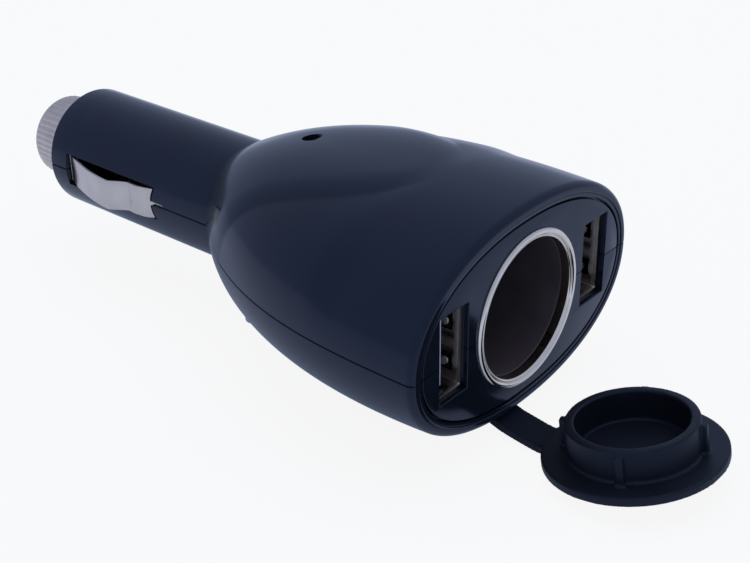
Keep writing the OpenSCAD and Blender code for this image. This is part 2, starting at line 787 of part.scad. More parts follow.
// rubber cap with its strap and anchor bar, one moulding
module socket_cap() {
    rear_y = -cap_front + flange_r * cos(cap_tilt);
    rear_z = -cap_low - flange_r * sin(cap_tilt);
    mids = [[hinge_y, hinge_z], [hinge_y - 0.5, hinge_z - 1.0], [hinge_y - 1.4, hinge_z - 1.9],
            [hinge_y - 2.8, hinge_z - 2.5], [hinge_y - 4.8, hinge_z - 2.95],
            [rear_y - 0.4 * cos(cap_tilt), rear_z + 0.4 * sin(cap_tilt)],
            [rear_y - 3.4 * cos(cap_tilt), rear_z + 3.4 * sin(cap_tilt)]];
    half = strap_t / 2;
    n = len(mids);
    dirs = [for (i = [0:n - 1]) let (d = mids[min(n - 1, i + 1)] - mids[max(0, i - 1)]) d / norm(d)];
    low = [for (i = [0:n - 1]) mids[i] + half * [-dirs[i][1], dirs[i][0]]];
    high = [for (i = [n - 1:-1:0]) mids[i] - half * [-dirs[i][1], dirs[i][0]]];
    color([0.05, 0.06, 0.08])
        union() {
            translate([0, -cap_front, -cap_low])
                rotate([-cap_tilt, 0, 0])
                    difference() {
                        union() {
                            translate([0, 0, -flange_t / 2])
                                cylinder(r = flange_r, h = flange_t);
                            cylinder(r = plug_r, h = flange_t / 2 + plug_h);
                            for (i = [0:3])
                                rotate([0, 0, rib_turn + 90 * i])
                                    translate([plug_r - 0.6, -0.65, 0])
                                        cube([rib_out + 0.6, 1.3, flange_t / 2 + plug_h - 0.5]);
                        }
                        translate([0, 0, flange_t / 2])
                            cylinder(r = plug_r - plug_wall, h = plug_h + 1);
                    }
            translate([strap_x - strap_w / 2, 0, 0])
                rotate([90, 0, 90])
                    linear_extrude(height = strap_w)
                        polygon(concat(low, high));
            translate([strap_x - bar_len / 2, hinge_y, hinge_z])
                rotate([0, 90, 0])
                    cylinder(r = bar_r, h = bar_len);
        }
}

upper_shell();
lower_shell();
tip_nut();
centre_pin();
fuse_cap(fuse_y1 - 6, true);  // fuse_cap_front
fuse_cap(fuse_y0, false);  // fuse_cap_rear
fuse_tube();
fuse_wire();
contact_spring();
fuse_sleeve();
rear_contact();
ground_spring(-1);  // ground_spring_left
ground_spring(1);  // ground_spring_right
socket_ring();
socket_well();
socket_ground_strip();
socket_centre_contact();
at_port(-1) port_shell_at();  // port_shell_left
at_port(1) port_shell_at();  // port_shell_right
at_port(-1) port_tongue_at();  // port_tongue_left
at_port(1) port_tongue_at();  // port_tongue_right
at_port(-1) port_contacts_at();  // port_contacts_left
at_port(1) port_contacts_at();  // port_contacts_right
board(-1);  // board_left
board(1);  // board_right
chip();
inductor();
capacitor();
led();
led_board();
positive_wire();
ground_wire(-1);  // ground_wire_left
ground_wire(1);  // ground_wire_right
screw(-1);  // screw_left
screw(1);  // screw_right
socket_cap();
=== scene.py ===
"""Looks of a vehicle power plug with a socket, two charging ports and a rubber cap on a strap.

Sizes are in millimetres until a mesh is made. The frame is the solid model's: X across the head,
Y along the plug to its tip, Z up out of the raised pad, with the front face at y = 0.
"""

import json
import logging
import math
from collections.abc import Sequence
from dataclasses import dataclass
from enum import Enum

import bmesh
import bpy
import numpy as np
from mathutils import Matrix, Vector


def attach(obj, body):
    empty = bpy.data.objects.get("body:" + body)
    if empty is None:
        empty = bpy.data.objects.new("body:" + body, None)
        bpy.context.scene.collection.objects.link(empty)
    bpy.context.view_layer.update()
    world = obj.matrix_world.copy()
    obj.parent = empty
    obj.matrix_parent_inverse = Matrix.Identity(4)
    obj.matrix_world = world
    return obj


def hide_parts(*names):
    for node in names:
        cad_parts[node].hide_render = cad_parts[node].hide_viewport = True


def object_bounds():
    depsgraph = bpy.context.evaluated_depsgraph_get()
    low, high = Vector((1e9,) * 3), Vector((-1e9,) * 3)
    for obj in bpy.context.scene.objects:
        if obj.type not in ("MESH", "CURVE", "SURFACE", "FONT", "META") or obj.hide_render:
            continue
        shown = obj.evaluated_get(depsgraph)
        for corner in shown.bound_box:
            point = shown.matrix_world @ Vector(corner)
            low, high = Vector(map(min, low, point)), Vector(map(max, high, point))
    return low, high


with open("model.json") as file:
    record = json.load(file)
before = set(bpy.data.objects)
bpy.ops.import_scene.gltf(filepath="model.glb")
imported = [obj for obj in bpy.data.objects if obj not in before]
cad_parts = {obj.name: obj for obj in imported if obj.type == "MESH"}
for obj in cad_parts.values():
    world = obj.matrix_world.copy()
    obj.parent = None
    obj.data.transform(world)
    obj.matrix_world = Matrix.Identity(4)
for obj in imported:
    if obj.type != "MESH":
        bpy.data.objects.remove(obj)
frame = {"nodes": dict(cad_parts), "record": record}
CAD_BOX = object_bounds()

MM = 0.001
LOG = logging.getLogger("charger")
Piece = bpy.types.Object
Tree = bpy.types.NodeTree
Pair = tuple[float, float]
Point = tuple[float, float, float]

# Centre of the rolled root of a ground spring, which sits in a pocket of the barrel
EYE_X = 8.4
EYE_Y = 89.3
# Centre of the arcs that end a spring's window and the leaf in it
BULGE_Y = 60.65
# X and Z of the middle of the right port
PORT_MIDDLE: Pair = (17.2, 0.6)
# Outer radius of the socket's well
WELL_R = 12.1
# Y and Z of the strap's bar, which lies in a groove of the lower moulding
HINGE: Pair = (3.9, -15.0)
# Smallest angle between faces, in degrees, that counts as an edge
EDGE_ANGLE = 40.0

# Kinds of node that the trees use often
MATH = "ShaderNodeMath"
VECTOR_MATH = "ShaderNodeVectorMath"
MAP_RANGE = "ShaderNodeMapRange"
COMBINE = "ShaderNodeCombineXYZ"


class Half(Enum):
    """The two mouldings of the housing, with the side of the seam that each lies on."""

    UPPER = 1
    LOWER = -1


class Side(Enum):
    """The two sides of the plug, with the sign of X there."""

    LEFT = -1
    RIGHT = 1

    @property
    def label(self) -> str:
        """Word for the side in the names of bodies, nodes and pieces."""
        return self.name.lower()

    def span(self, near: float, far: float) -> Pair:
        """Span along X between two distances from the middle, on this side."""
        low, high = sorted((self.value * near, self.value * far))
        return (low, high)


class Axis(Enum):
    """Axes that an outline is drawn out along, with their place in a point."""

    X = 0
    Z = 2


class Join(Enum):
    """How one closed mesh is combined with another."""

    ADD = "UNION"
    CUT = "DIFFERENCE"


# Colours and nodes


def linear(hex_code: str) -> tuple[float, float, float, float]:
    """Turns an sRGB hex colour into linear light.

    Args:
        hex_code: Six hex digits after a hash sign.

    Returns:
        Red, green, blue and full alpha.
    """
    parts = [int(hex_code[i : i + 2], 16) / 255 for i in (1, 3, 5)]
    light = [c / 12.92 if c <= 0.04045 else ((c + 0.055) / 1.055) ** 2.4 for c in parts]
    return (light[0], light[1], light[2], 1.0)


def add_node(
    tree: Tree,
    kind: str,
    settings: dict[str, object] | None = None,
    inputs: dict[str | int, object] | None = None,
) -> bpy.types.Node:
    """Adds one node with its settings and links.

    Args:
        tree: The shader or geometry tree that gets the node.
        kind: Blender's name for the node's type.
        settings: Properties to set on the node.
        inputs: Values for its inputs, or output sockets or nodes (by their first output) to link.

    Returns:
        The new node.
    """
    node = tree.nodes.new(kind)
    for name, value in (settings or {}).items():
        setattr(node, name, value)
    for key, value in (inputs or {}).items():
        source = value.outputs[0] if isinstance(value, bpy.types.Node) else value
        if isinstance(source, bpy.types.NodeSocket):
            tree.links.new(source, node.inputs[key])
        else:
            node.inputs[key].default_value = source
    return node


def empty_tree(owner: bpy.types.Material | bpy.types.World) -> Tree:
    """Turns on the nodes of a material or a world and clears them.

    Args:
        owner: The material or the world.

    Returns:
        Its tree.
    """
    owner.use_nodes = True
    owner.node_tree.nodes.clear()
    return owner.node_tree


def new_group(name: str, kinds: dict[str, str]) -> tuple[Tree, bpy.types.NodeOutputs]:
    """Starts a geometry tree that gives one geometry.

    Args:
        name: Name of the tree.
        kinds: Kind of each input, by the input's name.

    Returns:
        The tree and the outputs of its input node.
    """
    tree = bpy.data.node_groups.new(name, "GeometryNodeTree")
    for label, kind in kinds.items():
        tree.interface.new_socket(label, in_out="INPUT", socket_type=f"NodeSocket{kind}")
    tree.interface.new_socket("Geometry", in_out="OUTPUT", socket_type="NodeSocketGeometry")
    return tree, add_node(tree, "NodeGroupInput").outputs


def end_group(tree: Tree, shape: bpy.types.Node, material: bpy.types.NodeSocket) -> Tree:
    """Ends a geometry tree with real geometry in one material.

    Args:
        tree: The tree.
        shape: The node whose geometry it gives.
        material: The socket of the material.

    Returns:
        The same tree.
    """
    real = add_node(tree, "GeometryNodeRealizeInstances", inputs={0: shape})
    dressed = add_node(tree, "GeometryNodeSetMaterial", inputs={"Geometry": real, "Material": material})
    add_node(tree, "NodeGroupOutput", inputs={0: dressed})
    return tree


# Finishes


@dataclass(frozen=True)
class Relief:
    """A fine relief on a surface, drawn by noise at its real size.

    Attributes:
        size_mm: Width of one grain.
        depth_mm: Height of the grain.
        stretch: How many times denser the grain is along X, Y and Z.
        detail: Octaves of finer grain in it.
    """

    size_mm: float
    depth_mm: float
    stretch: Point = (1.0, 1.0, 1.0)
    detail: float = 2.0


@dataclass(frozen=True)
class Finish:
    """A surface finish made of one shader with a relief, a tone and a gloss that vary a little.

    Attributes:
        name: The material and how it was made.
        colour: Main colour.
        second: Colour that it drifts to.
        roughness: Lowest and highest roughness over the surface.
        metallic: Share of metal.
        ior: Index of refraction, left at the default for metals.
        shine: Level of the reflection, where 0.5 is what the index of refraction gives.
        tint: Colour of the reflection seen straight on.
        clear: Share of light that goes through.
        patch_mm: Width of the patches in which tone and gloss vary.
        noise_span: Noise values between which the tone and the gloss change.
        reliefs: Reliefs, the coarsest first.
    """

    name: str
    colour: str
    second: str
    roughness: Pair
    metallic: float = 0.0
    ior: float = 1.5
    shine: float = 0.5
    tint: str = "#ffffff"
    clear: float = 0.0
    patch_mm: float = 7.0
    noise_span: Pair = (0.3, 0.7)
    reliefs: tuple[Relief, ...] = ()

    def noise(self, tree: Tree, relief: Relief) -> bpy.types.Node:
        """Adds object-space noise of a relief's size.

        Args:
            tree: The material's tree.
            relief: Size, stretch and detail of the noise.

        Returns:
            The noise.
        """
        place = add_node(tree, "ShaderNodeTexCoord").outputs["Object"]
        turned = add_node(tree, "ShaderNodeMapping", inputs={"Vector": place, "Scale": relief.stretch})
        scale = 1.0 / (relief.size_mm * MM)
        return add_node(
            tree, "ShaderNodeTexNoise", inputs={"Vector": turned, "Scale": scale, "Detail": relief.detail}
        )

    def make(self) -> bpy.types.Material:
        """Builds the material, once for each finish.

        Returns:
            The material.
        """
        known = bpy.data.materials.get(self.name)
        if known is not None:
            return known
        material = bpy.data.materials.new(self.name)
        material.diffuse_color = linear(self.colour)
        tree = empty_tree(material)
        low, high = self.noise_span
        spread = {
            "Value": self.noise(tree, Relief(self.patch_mm, 0.0, detail=3.0)),
            "From Min": low,
            "From Max": high,
        }
        drift, gloss = (
            add_node(tree, MAP_RANGE, inputs={**spread, "To Min": least, "To Max": most})
            for least, most in ((0.0, 1.0), self.roughness)
        )
        colours = {0: drift, 6: linear(self.colour), 7: linear(self.second)}
        tone = add_node(tree, "ShaderNodeMix", {"data_type": "RGBA"}, colours)
        inputs: dict[str | int, object] = {
            "Base Color": tone.outputs[2],
            "Roughness": gloss,
            "Metallic": self.metallic,
            "Transmission Weight": self.clear,
        }
        if self.metallic < 0.5:
            inputs["IOR"] = self.ior
            inputs["Specular IOR Level"] = self.shine
            inputs["Specular Tint"] = linear(self.tint)
        for relief in self.reliefs:
            bump = {"Height": self.noise(tree, relief), "Distance": relief.depth_mm * MM, "Strength": 1.0}
            if "Normal" in inputs:
                bump["Normal"] = inputs["Normal"]
            inputs["Normal"] = add_node(tree, "ShaderNodeBump", inputs=bump)
        shader = add_node(tree, "ShaderNodeBsdfPrincipled", inputs=inputs)
        add_node(tree, "ShaderNodeOutputMaterial", inputs={"Surface": shader})
        return material

    def dress(self, obj: Piece) -> None:
        """Makes this the only material of a piece."""
        obj.data.materials.clear()
        obj.data.materials.append(self.make())


# ABS from a polished mould: deep, sharp gloss with a faint waviness from sink
POLISHED_ABS = Finish(
    "polished_abs", "#15191f", "#171c25", (0.10, 0.16), ior=1.52, tint="#bccdf6", patch_mm=9.0,
    reliefs=(Relief(11.0, 0.012, detail=1.0), Relief(0.35, 0.0006)),
)
# Silicone rubber from a blasted mould: matt, with a fine tooth that softens every highlight
MOULDED_RUBBER = Finish(
    "moulded_rubber", "#14171d", "#171a22", (0.42, 0.52), ior=1.43, shine=0.6, tint="#c2d0f4", patch_mm=5.0,
    reliefs=(Relief(3.0, 0.03), Relief(0.22, 0.006)),
)
# Turned aluminium: satin, with marks that run round the axis, and a little warm under the bluish surround
TURNED_ALUMINIUM = Finish(
    "turned_aluminium", "#eddfd0", "#ded1c4", (0.3, 0.44), metallic=1.0, patch_mm=3.0,
    reliefs=(Relief(0.5, 0.004, (0.3, 3.0, 0.3)),),
)
# Nickel plate on turned brass: smoother, cooler and darker than the nut
NICKEL_PLATE = Finish(
    "nickel_plate", "#c8c2c0", "#bab4b3", (0.24, 0.34), metallic=1.0, patch_mm=2.5,
    reliefs=(Relief(0.6, 0.003, (0.3, 3.0, 0.3)),),
)
# Rolled spring strip: faint lines along the strip from rolling
ROLLED_STEEL = Finish(
    "rolled_spring_steel", "#e8dcd0", "#dcd0c6", (0.2, 0.3), metallic=1.0, patch_mm=4.0,
    reliefs=(Relief(0.3, 0.0015, (1.0, 0.08, 1.0)),),
)
# Bright chrome on a rolled ring: mirror-like with the slightest haze
BRIGHT_CHROME = Finish(
    "bright_chrome", "#fff6e6", "#f6ead8", (0.05, 0.11), metallic=1.0, patch_mm=3.0,
    reliefs=(Relief(2.5, 0.004, detail=1.0),),
)
# Phenolic moulding: a dull dark brown grey, as it has to stand heat
DARK_PHENOLIC = Finish(
    "dark_phenolic", "#4c4343", "#554c4b", (0.42, 0.55), ior=1.6, patch_mm=5.0,
    reliefs=(Relief(0.4, 0.004),),
)
# Tin-plated shell of a port: bright strip with a soft blur; its colour is also made darker all over as
# painted shade for the shadow deep inside the port
TINNED_SHELL_PAINTED_SHADE = Finish(
    "tinned_shell_painted_shade", "#c4bab0", "#b0a69c", (0.14, 0.24), metallic=1.0, patch_mm=2.0,
    reliefs=(Relief(0.4, 0.0015, (1.0, 0.1, 1.0)),),
)
# White thermoplastic of a port's tongue: smooth and half dull
WHITE_THERMOPLASTIC = Finish(
    "white_thermoplastic", "#e4e7ee", "#dadde5", (0.35, 0.45), ior=1.57, patch_mm=3.0,
    reliefs=(Relief(0.3, 0.002),),
)
# Drawn brass contacts: plain, a little dull
DRAWN_BRASS = Finish(
    "drawn_brass", "#caa75e", "#b8954d", (0.25, 0.36), metallic=1.0, patch_mm=2.0,
    reliefs=(Relief(0.5, 0.003),),
)
# Clear resin of a lamp, coloured dark and opaque as painted shade for the unlit hollow behind it
CLEAR_RESIN_PAINTED_SHADE = Finish(
    "clear_resin_painted_shade", "#20242c", "#262a33", (0.06, 0.12), ior=1.54, patch_mm=1.5,
    reliefs=(Relief(0.8, 0.004),),
)
# Soda-lime glass of the fuse's tube: clear, with the draw's faint waves
FUSE_GLASS = Finish(
    "fuse_glass", "#e6eef0", "#dde7ea", (0.02, 0.06), ior=1.52, clear=0.9, patch_mm=4.0,
    reliefs=(Relief(3.0, 0.002),),
)
# Solder mask over glass fibre: a half gloss on a slightly uneven board
SOLDER_MASK = Finish(
    "solder_mask", "#0b2417", "#0d2a1b", (0.25, 0.4), ior=1.55, patch_mm=2.0,
    reliefs=(Relief(0.5, 0.005),),
)
# Moulded epoxy of the chip and the coil's core: dull, with a fine tooth
BLACK_EPOXY = Finish(
    "black_epoxy", "#1a1a1c", "#202022", (0.5, 0.65), ior=1.55, patch_mm=1.5,
    reliefs=(Relief(0.15, 0.004),),
)
# Shrink sleeve of the capacitor: thin glossy film
SHRINK_SLEEVE = Finish(
    "shrink_sleeve", "#1c2450", "#20295a", (0.2, 0.32), patch_mm=2.0, reliefs=(Relief(1.0, 0.006),)
)
# Soft vinyl on the wires: half dull
RED_VINYL = Finish(
    "red_vinyl", "#a01818", "#8e1414", (0.35, 0.5), ior=1.53, patch_mm=2.0, reliefs=(Relief(0.6, 0.006),)
)
BLACK_VINYL = Finish(
    "black_vinyl", "#17181a", "#1d1e20", (0.35, 0.5), ior=1.53, patch_mm=2.0, reliefs=(Relief(0.6, 0.006),)
)
# Zinc plate on the screws: grey and satin
ZINC_PLATE = Finish(
    "zinc_plate", "#a7a9ae", "#96989d", (0.28, 0.42), metallic=1.0, patch_mm=1.2,
    reliefs=(Relief(0.25, 0.003),),
)

SLOT_FINISH: dict[str, Finish] = {
    "shell_black": POLISHED_ABS,
    "tip_metal": TURNED_ALUMINIUM,
    "pin_metal": NICKEL_PLATE,
    "fuse_metal": NICKEL_PLATE,
    "fuse_glass": FUSE_GLASS,
    "spring_metal": ROLLED_STEEL,
    "contact_brass": DRAWN_BRASS,
    "ring_chrome": BRIGHT_CHROME,
    "well_plastic": DARK_PHENOLIC,
    "port_metal": TINNED_SHELL_PAINTED_SHADE,
    "tongue_plastic": WHITE_THERMOPLASTIC,
    "board_green": SOLDER_MASK,
    "chip_black": BLACK_EPOXY,
    "capacitor_sleeve": SHRINK_SLEEVE,
    "lamp_clear": CLEAR_RESIN_PAINTED_SHADE,
    "wire_red": RED_VINYL,
    "wire_black": BLACK_VINYL,
    "screw_metal": ZINC_PLATE,
    "cap_rubber": MOULDED_RUBBER,
}


# Mesh helpers


def as_object(name: str, points: Sequence[Sequence[float]], faces: Sequence[Sequence[int]]) -> Piece:
    """Makes a mesh object in the scene.

    Args:
        name: Name of the object.
        points: Points in millimetres.
        faces: Indices of each face's points.

    Returns:
        The object, at the origin.
    """
    mesh = bpy.data.meshes.new(name)
    mesh.from_pydata([tuple(float(c) * MM for c in p) for p in points], [], [list(f) for f in faces])
    obj = bpy.data.objects.new(name, mesh)
    bpy.context.scene.collection.objects.link(obj)
    return obj


def solid(name: str, points: Sequence[Sequence[float]], faces: Sequence[Sequence[int]]) -> Piece:
    """Makes a closed mesh object with doubled points merged and every face turned outwards.

    Args:
        name: Name of the object.
        points: Points in millimetres.
        faces: Indices of each face's points.

    Returns:
        The closed object.
    """
    obj = as_object(name, points, faces)
    work = bmesh.new()
    work.from_mesh(obj.data)
    bmesh.ops.remove_doubles(work, verts=work.verts, dist=1e-8)
    bmesh.ops.recalc_face_normals(work, faces=work.faces)
    work.to_mesh(obj.data)
    work.free()
    return obj


def loft(name: str, rows: Sequence[Sequence[Sequence[float]]], open_rows: bool = False) -> Piece:
    """Joins rows of points into one solid with flat ends.

    Args:
        name: Name of the object.
        rows: Rows of equally many points, from one end to the other.
        open_rows: Whether the rows are open, so that a flat base closes them.

    Returns:
        The closed solid.
    """
    grid = np.array(rows, float)
    count, columns = grid.shape[:2]
    faces: list[list[int]] = []
    for i in range(count - 1):
        for j in range(columns - 1 if open_rows else columns):
            k = (j + 1) % columns
            faces.append([i * columns + j, i * columns + k, (i + 1) * columns + k, (i + 1) * columns + j])
    faces.append(list(range(columns)))
    faces.append([(count - 1) * columns + j for j in range(columns)])
    if open_rows:
        starts = [i * columns for i in range(count)]
        ends = [i * columns + columns - 1 for i in range(count - 1, -1, -1)]
        faces.append(starts + ends)
    return solid(name, grid.reshape(-1, 3), faces)


def turned(name: str, profile: Sequence[Pair], steps: int) -> Piece:
    """Turns a closed profile about the plug's axis.

    Args:
        name: Name of the object.
        profile: Points as radius and y, in order round the section.
        steps: Number of steps round the axis.

    Returns:
        The turned solid.
    """
    points: list[Point] = []
    rings: list[list[int]] = []
    for radius, y in profile:
        if radius < 1e-6:
            rings.append([len(points)] * steps)
            points.append((0.0, y, 0.0))
            continue
        rings.append([len(points) + k for k in range(steps)])
        for k in range(steps):
            turn = 2 * math.pi * k / steps
            points.append((radius * math.cos(turn), y, radius * math.sin(turn)))
    faces: list[list[int]] = []
    for i, ring in enumerate(rings):
        after = rings[(i + 1) % len(rings)]
        if ring[0] == ring[1] and after[0] == after[1]:
            continue
        for k in range(steps):
            m = (k + 1) % steps
            faces.append(list(dict.fromkeys([ring[k], ring[m], after[m], after[k]])))
    return solid(name, points, faces)


def rod(start: Point, end: Point, radius: float, end_radius: float | None = None, steps: int = 96) -> Piece:
    """Makes a round bar or a cone between two points.

    Args:
        start: Middle of the first end.
        end: Middle of the other end.
        radius: Radius at the first end.
        end_radius: Radius at the other end, where it differs.
        steps: Number of steps round it.

    Returns:
        The closed bar.
    """
    a = Vector(start)
    b = Vector(end)
    turn = (b - a).to_track_quat("Z", "Y").to_matrix()
    rows = []
    for middle, r in ((a, radius), (b, radius if end_radius is None else end_radius)):
        angles = [2 * math.pi * k / steps for k in range(steps)]
        rows.append([tuple(middle + turn @ Vector((r * math.cos(t), r * math.sin(t), 0))) for t in angles])
    return loft("bar", rows)


def brick(x: Pair, y: Pair, z: Pair) -> Piece:
    """Makes a box from its spans along X, Y and Z."""
    return loft("box", [[(x[0], v, z[0]), (x[1], v, z[0]), (x[1], v, z[1]), (x[0], v, z[1])] for v in y])


def prism(outline: Sequence[Pair], span: Pair, axis: Axis) -> Piece:
    """Draws a closed outline, given in the other two coordinates, out along an axis."""
    return loft("prism", [np.insert(np.array(outline, float), axis.value, v, axis=1) for v in span])


def settle(obj: Piece) -> None:
    """Turns an object's modifiers into its plain mesh."""
    bpy.context.view_layer.update()
    graph = bpy.context.evaluated_depsgraph_get()
    mesh = bpy.data.meshes.new_from_object(obj.evaluated_get(graph))
    obj.modifiers.clear()
    old = obj.data
    obj.data = mesh
    mesh.name = obj.name
    bpy.data.meshes.remove(old)


def run_tree(obj: Piece, tree: Tree, values: dict[str, object]) -> None:
    """Runs a geometry tree on a piece and keeps the result as its plain mesh.

    Args:
        obj: The piece.
        tree: The tree.
        values: Values for the tree's inputs, by name.
    """
    step = obj.modifiers.new(tree.name, "NODES")
    step.node_group = tree
    for item in tree.interface.items_tree:
        if item.name in values:
            step[item.identifier] = values[item.name]
    settle(obj)


def combine(body: Piece, tools: Sequence[Piece], how: Join) -> None:
    """Adds closed solids to a closed solid, or cuts it by them, and removes them.

    Args:
        body: The solid that changes.
        tools: The solids to combine with it, in order.
        how: Add or cut.
    """
    for tool in tools:
        step = body.modifiers.new("combine", "BOOLEAN")
        step.operation = how.value
        step.solver = "MANIFOLD"
        step.object = tool
    settle(body)
    for tool in tools:
        mesh = tool.data
        bpy.data.objects.remove(tool)
        bpy.data.meshes.remove(mesh)


def soften(obj: Piece, width: float) -> None:
    """Rounds the sharp edges of a piece.

    Args:
        obj: The piece.
        width: Width of the rounding in millimetres.
    """
    bevel = obj.modifiers.new("soften", "BEVEL")
    bevel.width = width * MM
    bevel.segments = 2
    bevel.limit_method = "ANGLE"
    bevel.angle_limit = math.radians(EDGE_ANGLE)
    settle(obj)


def shade(obj: Piece, angle: float = EDGE_ANGLE) -> None:
    """Shades a piece smoothly, apart from edges sharper than the angle in degrees."""
    obj.data.shade_smooth()
    obj.data.set_sharp_from_angle(angle=math.radians(angle))


def ease(t: np.ndarray | float) -> np.ndarray:
    """Rises smoothly from 0 to 1 as t does."""
    c = np.clip(t, 0.0, 1.0)
    return c * c * (3 - 2 * c)


def place(obj: Piece, body: str, slot: str, node: str) -> None:
    """Args:
        obj: The finished piece.
        body: The body that it moves with.
        slot: The record's material slot.
        node: The solid model's node that it stands for.
    """
    SLOT_FINISH[slot].dress(obj)
    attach(obj, body)
    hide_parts(node)
    LOG.info("%s rides on %s, %d faces", obj.name, body, len(obj.data.polygons))


# Housing


@dataclass(frozen=True)
class Taper:
    """How one size of the head falls from the face to the barrel.

    Attributes:
        front: The size at the face.
        power: How late it falls.
        crown: How much fuller it is between the face and the neck.
    """

    front: float
    power: float
    crown: float = 0.0

    def at(self, along: np.ndarray, end: float) -> np.ndarray:
        """Finds the size at a share of the way to the neck.

        Args:
            along: The share.
            end: The size at the neck.

        Returns:
            The size there.
        """
        # The factor makes the bulge peak at 1, a third of the way along
        bulge = 6.75 * along * (1 - along) ** 2
        return end + (self.front - end) * (1 - along**self.power) + self.crown * bulge


